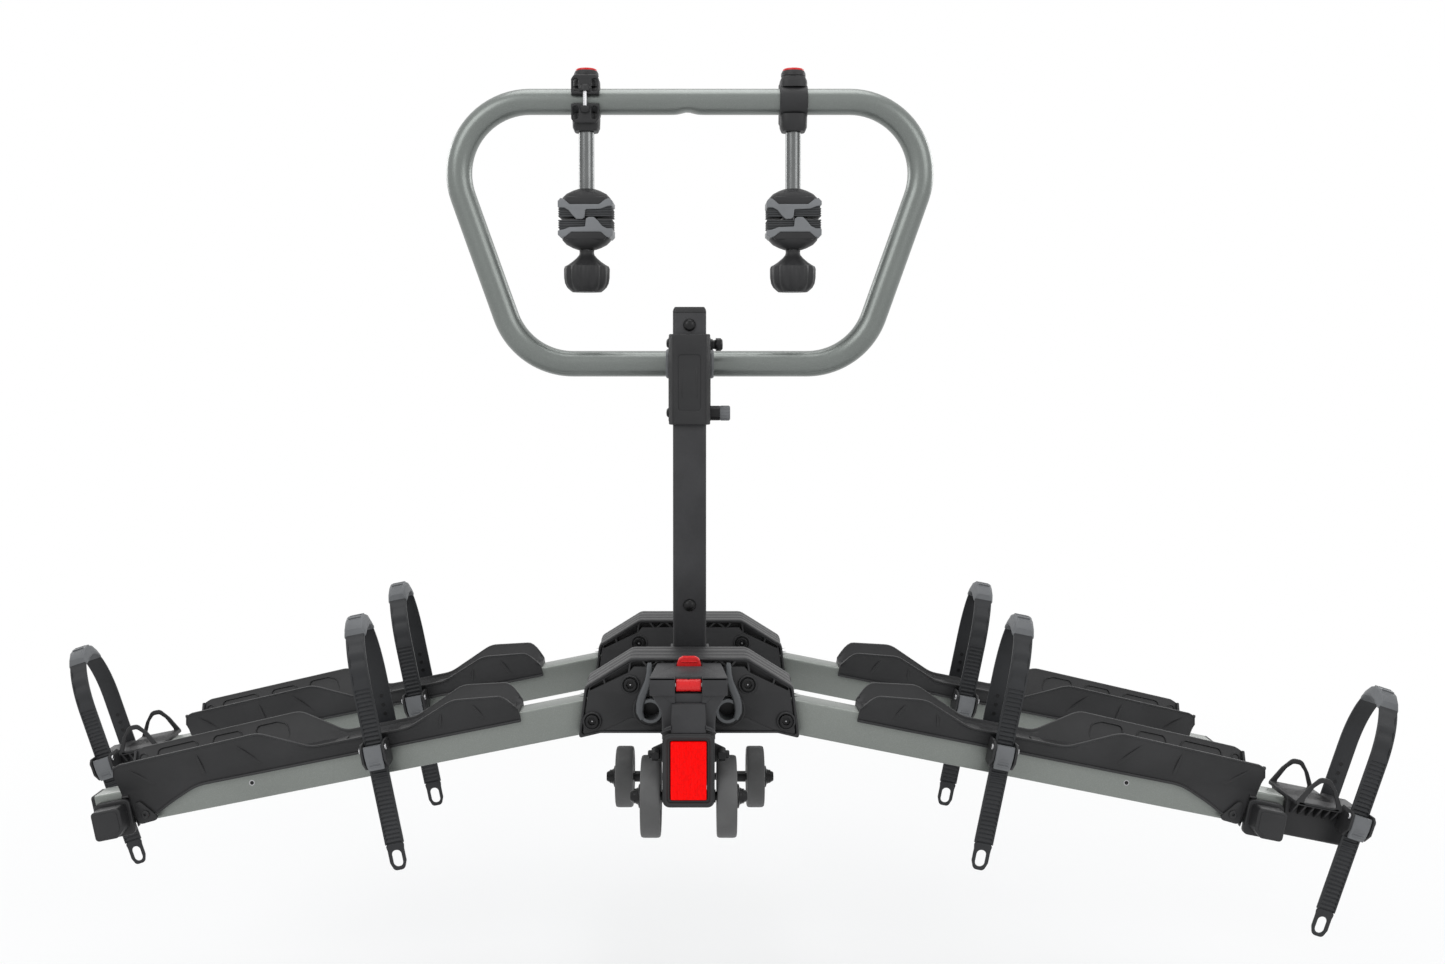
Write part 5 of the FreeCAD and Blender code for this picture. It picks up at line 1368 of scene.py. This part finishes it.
class RACK_OT_slider(bpy.types.Operator):
    """Build the slider with its plunger and clamp knob"""
    bl_idname = "rack.slider"
    bl_label = "Slider"

    def execute(self, context):
        low, high = box_mm("slider")
        mast = middle("mast")
        tall = high.z - low.z
        mid_z = (low.z + high.z) / 2
        half = (high.x - low.x) / 2
        front, back = low.y, mast.y + 24.6
        outer = rounded([(-half, front + 7), (-half + 4.5, front), (half - 4.5, front),
                         (half, front + 7), (half, back), (-half, back)],
                        [3, 2.5, 2.5, 3, 4, 4], 4)
        bore = rounded(rectangle(40.7, 40.7, 0, mast.y), 4.4, 4)
        sleeve = moved(plate(outer, tall, 1.6, [bore], 4), shift(0, 0, mid_z))
        parts = [(sleeve, "moulded_black")]
        rim = plate(rounded(rectangle(37.6, tall - 1), 3.5, 5), 1.8, 0.8,
                    [rounded(rectangle(27, 67, 0, -4), 4, 6)], 3)
        parts.append((moved(rim, shift(0, front - 0.1, mid_z), FRONT), "moulded_black"))
        for side in (-1, 1):
            groove = block(2.0, 0.9, 35, 0.4, 0.4)
            parts.append((moved(groove, shift(side * 8.8, front + 0.1, mid_z - 4)),
                          "moulded_black"))
            for y in (front + 12, front + 19):
                fin = block(1.2, 2.4, tall - 8, 0.5, 0.4)
                parts.append((moved(fin, shift(side * (half - 0.1), y, mid_z)), "moulded_black"))
            flange = rounded([(front + 22, low.z + 4), (back + 1, low.z + 4), (back + 1, high.z - 4),
                              (front + 22, high.z - 4)], 5, 4)
            parts.append((moved(plate(flange, 2, 0.7), shift(side * (half - 0.4)), SIDE),
                          "moulded_black"))
            collar = lathe([(HOOP_RADIUS + 0.1, 0), (HOOP_RADIUS + 2.2, 0.4),
                            (HOOP_RADIUS + 2.4, 2.6), (HOOP_RADIUS + 1.2, 4.4),
                            (HOOP_RADIUS + 0.1, 4.8)], 44)
            parts.append((moved(collar, shift(side * half, HOOP_LINE, 443.4),
                                spin(90 * side, "Y")), "moulded_grey"))
        for z in (high.z - 11, low.z + 14):
            head = lathe([(0, 0), (5.6, 0), (5.4, 1.4), (3.8, 2.8), (0, 3.3)], 24)
            parts.append((moved(head, shift(-half, mast.y - 12, z), spin(-90, "Y")), "bolt_black"))
        grip = rounded([(back - 2, 424), (HOOP_LINE + 20, 424), (HOOP_LINE + 20, 463),
                        (back - 2, 463)], 8, 6)
        hole = circle(HOOP_RADIUS + 0.05, HOOP_LINE, 443.4, 44)
        parts.append((moved(plate(grip, half * 2 - 2, 1.4, [hole], 3), SIDE), "moulded_black"))
        piece("height_slider", "carriage", parts, ["slider"])
        pull = middle("plunger")
        seat = shift(half + 0.2, pull.y, pull.z) @ spin(90, "Y")
        body = lathe([(0, -3), (4, -3), (4, 0), (6.8, 0), (6.8, 2.6), (5.6, 3.2), (5.4, 5),
                      (7.4, 8.6), (7.4, 11), (6.6, 14), (5.0, 15), (0, 15.2)], 36)
        parts = [(moved(body, seat), "bolt_black")]
        for k in range(8):
            rib = moved(block(0.9, 1.4, 6.4, 0.3, 0.3), shift(7.3, 0, 9.6))
            parts.append((moved(rib, seat, spin(45 * k, "Z")), "bolt_black"))
        piece("pull_plunger", "plunger_body", parts, ["plunger"])
        knob = middle("slider_knob")
        seat = shift(half + 0.2, knob.y, knob.z) @ spin(90, "Y")
        base = lathe([(0, -3), (4, -3), (4, 0), (8.4, 0), (9, 0.8), (9, 11.2), (8.2, 11.8),
                      (0, 11.8)], 36)
        crown = lathe([(0, 11.6), (8.4, 11.6), (8.8, 12.4), (8.8, 22.6), (8, 24), (0, 24)], 36)
        parts = [(moved(base, seat), "bolt_black"), (moved(crown, seat), "moulded_grey")]
        for k in range(14):
            rib = moved(block(0.8, 1.7, 10.2, 0.35, 0.3), shift(8.7, 0, 17.6))
            parts.append((moved(rib, seat, spin(360 / 14 * k, "Z")), "moulded_grey"))
        piece("lock_knob", "slider_knob_body", parts, ["slider_knob"])
        return {"FINISHED"}


class RACK_OT_hoop(bpy.types.Operator):
    """Build the bent hoop tube"""
    bl_idname = "rack.hoop"
    bl_label = "Hoop"

    def execute(self, context):
        low, high = box_mm("hoop")
        radius = HOOP_RADIUS
        low_z, high_z = low.z + radius, high.z - radius
        corners = [Vector((x, HOOP_LINE, z)) for x, z in
                   ((-207.1, low_z), (-321.4, high_z), (321.4, high_z), (207.1, low_z))]
        bends = rounded(corners, 88, 22)
        path = []
        for i, point in enumerate(bends):
            after = bends[(i + 1) % len(bends)]
            count = max(int((after - point).length / 5), 1)
            path += [point.lerp(after, k / count) for k in range(count)]
        tube = sweep(path, circle(radius, steps=48), closed=True)
        for vertex in tube.vertices:
            depth = high_z - 8 - vertex.co.z
            if depth > 0 and vertex.co.z > high_z - radius - 1:
                vertex.co.z += 0.4 * depth * math.exp(-((vertex.co.x + 3) / 9) ** 2)
        for polygon in tube.polygons:
            polygon.use_smooth = True
        piece("hoop_tube", "carriage", [(tube, "hoop_coat")], ["hoop"])
        return {"FINISHED"}


# ------------------------------------------------------------------ hanging arms
def superellipse(half_x, half_y, level, power=2.6, steps=48):
    """A ring between an ellipse and a rectangle at a height."""
    ring = []
    for i in range(steps):
        a = 2 * math.pi * i / steps
        c, s = math.cos(a), math.sin(a)
        ring.append(Vector((half_x * math.copysign(abs(c) ** (2 / power), c),
                            half_y * math.copysign(abs(s) ** (2 / power), s), level)))
    return ring


def dome(levels):
    """A moulded dome over rings of (height, half X, half Y, squareness)."""
    return grid_mesh([superellipse(x, y, z, power) for z, x, y, power in levels])


def clamp_parts(open_front):
    """The arm's clamp round the hoop, about the arm's axis with Z 0 on the tube's middle."""
    front = -1 if open_front else 1
    inner = HOOP_RADIUS + 0.1
    ring = []
    for k in range(33):
        angle = math.radians(18 + 324 * k / 32)
        outward = Vector((0, front * math.cos(angle), math.sin(angle)))
        ring.append([Vector((x, 0, 0)) + outward * (inner + r) for x, r in (
            (-16.6, 0), (-17, 0.6), (-17, 3.2), (-15.8, 4.6), (15.8, 4.6), (17, 3.2), (17, 0.6),
            (16.6, 0))])
    parts = [grid_mesh(ring)]
    for sign in (-1, 1):
        end = 29.8 if sign > 0 else 37.2
        levels = [(sign * z, r) for z, r in ((inner + 0.5, 16.8), (22, 17), (end - 5, 16.6),
                                             (end, 14.4))]
        parts.append(grid_mesh([superellipse(r, r, z, 3.2) for z, r in levels]))
        cheek = [(-17, 5.6), (17, 5.6), (17, 24), (13.4, 29.4), (-13.4, 29.4), (-17, 24)]
        windows = [rounded(rectangle(6.6, 15.5, x, 16.6), 3, 5) for x in (-11.2, 11.2)]
        cheek = [(x, sign * z) for x, z in cheek]
        windows = [[Vector((p[0], sign * p[1])) for p in window] for window in windows]
        mesh = plate(rounded(cheek, 3, 4), 5, 1.4, windows, 4)
        parts.append(moved(mesh, shift(0, front * 19.9), FRONT))
        lug = lathe([(3.4, 9.2), (6.6, 9.2), (6.8, 10.4), (6.2, 14.6), (4.6, 17), (3.4, 17)], 28)
        parts.append(moved(lug, shift(0, front * 21.6), spin(0 if sign > 0 else 180, "X")))
    black = [(mesh, "moulded_black") for mesh in parts]
    bolt = lathe([(0, -16.6), (4.6, -16.6), (4.6, -14), (2.8, -14), (2.8, 14), (4.6, 14),
                  (4.6, 16.6), (0, 16.6)], 24)
    black.append((moved(bolt, shift(0, front * 21.6)), "bright_steel"))
    sleeve = lathe([(9.7, -37.0), (12.4, -37.0), (12.6, -30), (11, -27), (9.7, -27)], 32)
    black.append((sleeve, "moulded_black"))
    return black


JAW_HOOK = [(-33.5, 12.6), (-33.5, 20.5), (-30, 24.4), (-25.5, 22.6), (-19, 16.8), (17, 16.8),
            (24.5, 22.6), (29.5, 24.4), (33.5, 20.5), (33.5, 15.2), (27, 14.2), (19, 11.2),
            (0.2, 10.4), (-0.8, 0.8), (-4, -1.3), (-10.5, -1.3), (-15.5, 3.4), (-20.5, 9.6),
            (-26, 12.6)]


def jaw_parts(turn):
    """One jaw about the grip's middle: hook plate, ribbed pads and its black dome."""
    hook = plate(rounded(JAW_HOOK, 1.4, 4), 48, 1.0, steps=3)
    parts = [(moved(hook, FRONT), "jaw_grey")]
    for low_x, high_x, bottom in ((-33.2, -12, 1.8), (-2.4, 33.2, 2.2)):
        for k in range(4):
            level = bottom + 2.8 * k
            rib = block(high_x - low_x, 44 - (k % 2), 1.6, 0.5, 1.5)
            parts.append((moved(rib, shift((low_x + high_x) / 2, 0, level + 0.8)), "jaw_rubber"))
        core = block(high_x - low_x - 2.4, 41, 13, 0.6, 1.5)
        parts.append((moved(core, shift((low_x + high_x) / 2, 0, bottom + 6.8)), "jaw_rubber"))
    levels = [(15, 29, 22.4, 4), (22, 30, 23, 3.4), (26, 29.6, 22.6, 3), (31, 25, 19.5, 2.6),
              (35, 17.5, 15, 2.2), (37.2, 11.4, 11.2, 2)]
    parts.append((dome(levels), "moulded_black"))
    stripe = [(-28.6, 18.8), (-20, 15.6), (20, 15.6), (28.6, 18.8), (23, 26.5), (-23, 26.5)]
    panel = plate(rounded(stripe, 3, 4), 46, 2.4, steps=4)
    parts.append((moved(panel, FRONT), "moulded_black"))
    if turn:
        parts = placed(parts, spin(180, "Y"))
    return parts


def clamp_knob_mesh():
    """The lobed knob, its top at Z 0."""
    lobes = sizes().knob_lobes
    rings = []
    for z, radius, wave in ((0, 9.2, 0), (-3, 8.8, 0), (-6, 9.6, 0), (-10, 13, 0), (-15, 19, 0.01),
                            (-18, 23.4, 0.03), (-20, 27.2, 0.06), (-23, 28.4, 0.075),
                            (-34, 28.2, 0.08), (-41, 27, 0.075), (-46, 24.4, 0.05),
                            (-49.6, 20.6, 0.02), (-51.6, 18, 0)):
        ring = []
        for i in range(96):
            a = 2 * math.pi * i / 96
            grow = 1 - wave * (0.5 - 0.5 * math.cos(lobes * 2 * a)) ** 2
            ring.append(Vector((radius * grow * math.cos(a), radius * grow * math.sin(a), z)))
        rings.append(ring)
    return grid_mesh(rings)


class RACK_OT_arms(bpy.types.Operator):
    """Build the two hanging arms with their jaws and knobs"""
    bl_idname = "rack.arms"
    bl_label = "Hanging arms"

    def execute(self, context):
        for hand, side in SIDES:
            axis = middle(f"arm_knob_{hand}")
            tube_z = box_mm("hoop")[1].z - HOOP_RADIUS
            at_tube = shift(axis.x, axis.y, tube_z)
            piece(f"hoop_clamp_{hand}", f"arm_{hand}_body",
                  placed(clamp_parts(side < 0), at_tube), [f"arm_clamp_{hand}"])
            knob = lathe([(0, 0), (14.6, 0), (15.2, 0.8), (15.0, 4.2), (13.6, 6.9), (0, 6.9)], 40)
            red = lathe([(0, 6.6), (13, 6.6), (13.2, 7.4), (12.8, 9.0), (11.8, 9.6), (0, 9.7)], 40)
            seat = shift(axis.x, axis.y, box_mm(f"arm_knob_{hand}")[0].z)
            piece(f"arm_disc_{hand}", f"arm_knob_{hand}_body",
                  [(moved(knob, seat), "moulded_black"), (moved(red, seat), "red_gloss")],
                  [f"arm_knob_{hand}"])
            grip = box_mm(f"lower_jaw_{hand}")[1].z + 0.3
            tube = lathe([(7.6, 0), (9.5, 0), (9.5, 70), (7.6, 70)], 40)
            rod = lathe([(0, -83), (4.9, -83), (4.9, 6), (0, 6)], 24)
            at_grip = shift(axis.x, axis.y, grip)
            parts = [(moved(tube, shift(axis.x, axis.y, grip + 37)), "tube_black"),
                     (moved(rod, at_grip), "bright_steel")]
            parts += placed(jaw_parts(False), at_grip)
            piece(f"arm_and_jaw_{hand}", f"arm_{hand}_body", parts, [f"hanger_{hand}"])
            piece(f"moving_jaw_{hand}", f"jaw_{hand}_body", placed(jaw_parts(True), at_grip),
                  [f"lower_jaw_{hand}"])
            low, high = box_mm(f"clamp_knob_{hand}")
            knob = moved(clamp_knob_mesh(), shift(axis.x, axis.y, high.z))
            cover = lathe([(0, 0), (12, 0), (12.4, 0.8), (11.6, 2), (0, 2.2)], 32)
            parts = [(knob, "moulded_black"),
                     (moved(cover, shift(axis.x, axis.y, low.z)), "moulded_grey")]
            piece(f"jaw_knob_{hand}", f"clamp_knob_{hand}_body", parts, [f"clamp_knob_{hand}"])
        return {"FINISHED"}


# ------------------------------------------------------------------ hitch
class RACK_OT_hitch(bpy.types.Operator):
    """Build the hitch shank, the tilt yoke and its bolt"""
    bl_idname = "rack.hitch"
    bl_label = "Hitch and tilt yoke"

    def execute(self, context):
        low, high = box_mm("hitch_shank")
        wide, tall = high.x - low.x, high.z - low.z
        nose = high.y
        outer = rounded(rectangle(wide, tall), 4, 5)
        inner = rounded(rectangle(wide - 10, tall - 10), 2, 3)
        tube = plate(outer, nose - low.y, 0.6, [inner])
        parts = [(moved(tube, shift(0, (low.y + nose) / 2), FRONT), "powder_black")]
        for side in (-1, 1):
            ring = lathe([(8.2, 0), (10.4, 0), (10.4, 0.3), (8.2, 0.2)], 36)
            parts.append((moved(ring, shift(side * wide / 2 - side * 0.2, 0, 0),
                                spin(90 * side, "Y")), "bright_steel"))
            # painted shade: a thin dark disc inside the ring stands for the pin hole; no hole is cut in
            # the shank
            dark = lathe([(0, 0), (8.4, 0), (8.4, 0.25), (0, 0.25)], 32)
            parts.append((moved(dark, shift(side * wide / 2 - side * 0.15, 0, 0),
                                spin(90 * side, "Y")), "bolt_black"))
        piece("receiver_shank", "hitch", parts, ["hitch_shank"])
        low, high = box_mm("pivot_yoke")
        pivot = middle("pivot_bolt").y
        cheek = rounded([(low.y, low.z), (high.y, low.z), (high.y, high.z), (low.y, high.z)],
                        [22, 3, 3, 22], 9)
        parts = []
        for side in (-1, 1):
            mesh = plate(cheek, 6, 0.8, [circle(8.2, pivot, 0, 32)])
            parts.append((moved(mesh, shift(side * (high.x - 3)), SIDE), "powder_black"))
        back = plate(rounded(rectangle(high.x - low.x, high.z - low.z), 3, 3), 6, 0.8)
        parts.append((moved(back, shift(0, high.y - 3), FRONT), "powder_black"))
        for x in (-21, 21):
            weld = [Vector((x, high.y + 0.5, z)) for z in (-22, -11, 0, 11, 22)]
            parts.append((bead(weld, 2.2), "powder_black"))
        piece("tilt_yoke", "hitch", parts, ["pivot_yoke"])
        low, high = box_mm("pivot_bolt")
        rod = lathe([(0, low.x + 8), (8, low.x + 8), (8, high.x - 1), (7, high.x), (0, high.x)], 32)
        head = moved(hex_nut(24, 8), shift(0, 0, low.x + 4.2))
        nut = moved(hex_nut(24, 11, 8), shift(0, 0, 32.2))
        seat = shift(0, pivot, 0) @ spin(90, "Y")
        parts = [(moved(mesh, seat), "bright_steel") for mesh in (rod, head, nut)]
        piece("tilt_bolt", "hitch", parts, ["pivot_bolt"])
        return {"FINISHED"}


# ------------------------------------------------------------------ studio
def area_light(name, spot, aim, size, power):
    """A soft round lamp that faces a point."""
    light = bpy.data.lights.new(name, "AREA")
    light.shape = "DISK"
    light.size = size
    light.energy = power
    holder = bpy.data.objects.new(name, light)
    holder.location = spot
    turn = (Vector(aim) - Vector(spot)).to_track_quat("-Z", "Y")
    holder.rotation_euler = turn.to_euler()
    bpy.context.scene.collection.objects.link(holder)
    holder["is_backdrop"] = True


def seen_rays(tree):
    """One for the rays that show the surroundings, straight, mirrored or through glass."""
    path = tree.nodes.new("ShaderNodeLightPath")
    total = path.outputs["Is Camera Ray"]
    for name in ("Is Glossy Ray", "Is Transmission Ray"):
        larger = tree.nodes.new("ShaderNodeMath")
        larger.operation = "MAXIMUM"
        tree.links.new(total, larger.inputs[0])
        tree.links.new(path.outputs[name], larger.inputs[1])
        total = larger.outputs["Value"]
    return total


def studio_floor():
    """A pale floor that shows the shadow near the rack and is plain white far from it."""
    material, tree, shader = new_material("studio_floor", (0.93, 0.93, 0.93), 0.9)
    drift = mix_colour(tree, noise(tree, 3.0), (0.92, 0.92, 0.92), (0.94, 0.94, 0.94))
    tree.links.new(drift, shader.inputs["Base Color"])
    shader.inputs["Specular IOR Level"].default_value = 0.0
    white = tree.nodes.new("ShaderNodeEmission")
    white.inputs["Color"].default_value = (1, 1, 1, 1)
    white.inputs["Strength"].default_value = 1.0
    place = tree.nodes.new("ShaderNodeTexCoord")
    away = tree.nodes.new("ShaderNodeVectorMath")
    away.operation = "LENGTH"
    tree.links.new(place.outputs["Object"], away.inputs[0])
    share = tree.nodes.new("ShaderNodeMath")
    share.operation = "MULTIPLY"
    tree.links.new(spread(tree, away.outputs["Value"], 0.4, 1.0, 0.8, 2.2), share.inputs[0])
    tree.links.new(seen_rays(tree), share.inputs[1])
    mixer = tree.nodes.new("ShaderNodeMixShader")
    tree.links.new(share.outputs["Value"], mixer.inputs["Fac"])
    tree.links.new(shader.outputs["BSDF"], mixer.inputs[1])
    tree.links.new(white.outputs["Emission"], mixer.inputs[2])
    tree.links.new(mixer.outputs["Shader"], tree.nodes["Material Output"].inputs["Surface"])
    return material


def studio_world():
    """Even white surroundings that the camera sees as plain white."""
    world = bpy.data.worlds.new("studio")
    bpy.context.scene.world = world
    world.use_nodes = True
    tree = world.node_tree
    tree.nodes.clear()
    seen = tree.nodes.new("ShaderNodeBackground")
    seen.inputs["Color"].default_value = (1, 1, 1, 1)
    seen.inputs["Strength"].default_value = 1.0
    lit = tree.nodes.new("ShaderNodeBackground")
    lit.inputs["Color"].default_value = (0.96, 0.98, 1, 1)
    lit.inputs["Strength"].default_value = 0.5
    mixer = tree.nodes.new("ShaderNodeMixShader")
    out = tree.nodes.new("ShaderNodeOutputWorld")
    tree.links.new(seen_rays(tree), mixer.inputs["Fac"])
    tree.links.new(lit.outputs["Background"], mixer.inputs[1])
    tree.links.new(seen.outputs["Background"], mixer.inputs[2])
    tree.links.new(mixer.outputs["Shader"], out.inputs["Surface"])


FLOOR_DROP = 0.22              # metres below the lowest point
CAMERA_BACK = 1.56             # metres in front of the near wheel line


class RACK_OT_stage(bpy.types.Operator):
    """Set the floor, the lights and the camera"""
    bl_idname = "rack.stage"
    bl_label = "Studio"

    def execute(self, context):
        scene = context.scene
        scene.view_settings.view_transform = "Standard"
        studio_world()
        low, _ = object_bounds()
        work = bmesh.new()
        bmesh.ops.create_grid(work, x_segments=1, y_segments=1, size=14)
        mesh = bpy.data.meshes.new("floor")
        work.to_mesh(mesh)
        work.free()
        floor = bpy.data.objects.new("floor", mesh)
        floor.location = (0, NEAR_LINE * MM, low.z - FLOOR_DROP)
        scene.collection.objects.link(floor)
        mesh.materials.append(studio_floor())
        floor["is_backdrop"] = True
        aim = (0, NEAR_LINE * MM, 0.25)
        area_light("key", (-2.4, -3.4, 2.6), aim, 2.6, 50)
        area_light("fill", (2.7, -3.0, 1.9), aim, 2.4, 32)
        area_light("top", (0.0, -0.2, 3.4), aim, 2.6, 44)
        area_light("rim_left", (-2.6, 1.6, 1.4), aim, 1.4, 18)
        area_light("rim_right", (2.6, 1.6, 1.4), aim, 1.4, 18)
        camera = bpy.data.cameras.new("camera")
        camera.lens = 33.46
        camera.sensor_width = 36
        camera.shift_x = 0.0156
        camera.shift_y = -0.0575
        holder = bpy.data.objects.new("camera", camera)
        holder.location = (0.0125, NEAR_LINE * MM - CAMERA_BACK, 0.458)
        holder.rotation_euler = (math.radians(88), 0, 0)
        scene.collection.objects.link(holder)
        scene.camera = holder
        holder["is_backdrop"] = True
        return {"FINISHED"}


# ------------------------------------------------------------------ panel and run
class RACK_PT_panel(bpy.types.Panel):
    """Sizes, colours and one button for each group of pieces"""
    bl_idname = "RACK_PT_panel"
    bl_label = "Bike rack"
    bl_space_type = "VIEW_3D"
    bl_region_type = "UI"
    bl_category = "Rack"

    def draw(self, context):
        for group in (context.scene.rack_sizes, context.scene.rack_colours):
            box = self.layout.box()
            for name in group.bl_rna.properties.keys():
                if name not in ("rna_type", "name"):
                    box.prop(group, name)
        for step in STEPS:
            self.layout.operator(step.bl_idname)


STEPS = (RACK_OT_finishes, RACK_OT_rails, RACK_OT_trays, RACK_OT_end_caps, RACK_OT_straps,
         RACK_OT_cradles, RACK_OT_housings, RACK_OT_beam, RACK_OT_latch, RACK_OT_wheels,
         RACK_OT_mast, RACK_OT_slider, RACK_OT_hoop, RACK_OT_arms, RACK_OT_hitch, RACK_OT_bolts,
         RACK_OT_stage)
CLASSES = (RackSizes, RackColours, *STEPS, RACK_PT_panel)


def register():
    for item in CLASSES:
        bpy.utils.register_class(item)
    bpy.types.Scene.rack_sizes = PointerProperty(type=RackSizes)
    bpy.types.Scene.rack_colours = PointerProperty(type=RackColours)


def unregister():
    del bpy.types.Scene.rack_colours
    del bpy.types.Scene.rack_sizes
    for item in reversed(CLASSES):
        bpy.utils.unregister_class(item)


def main():
    """Build every group in order."""
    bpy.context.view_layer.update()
    register()
    for step in STEPS:
        group, name = step.bl_idname.split(".")
        getattr(getattr(bpy.ops, group), name)()


if __name__ == "__main__":
    main()
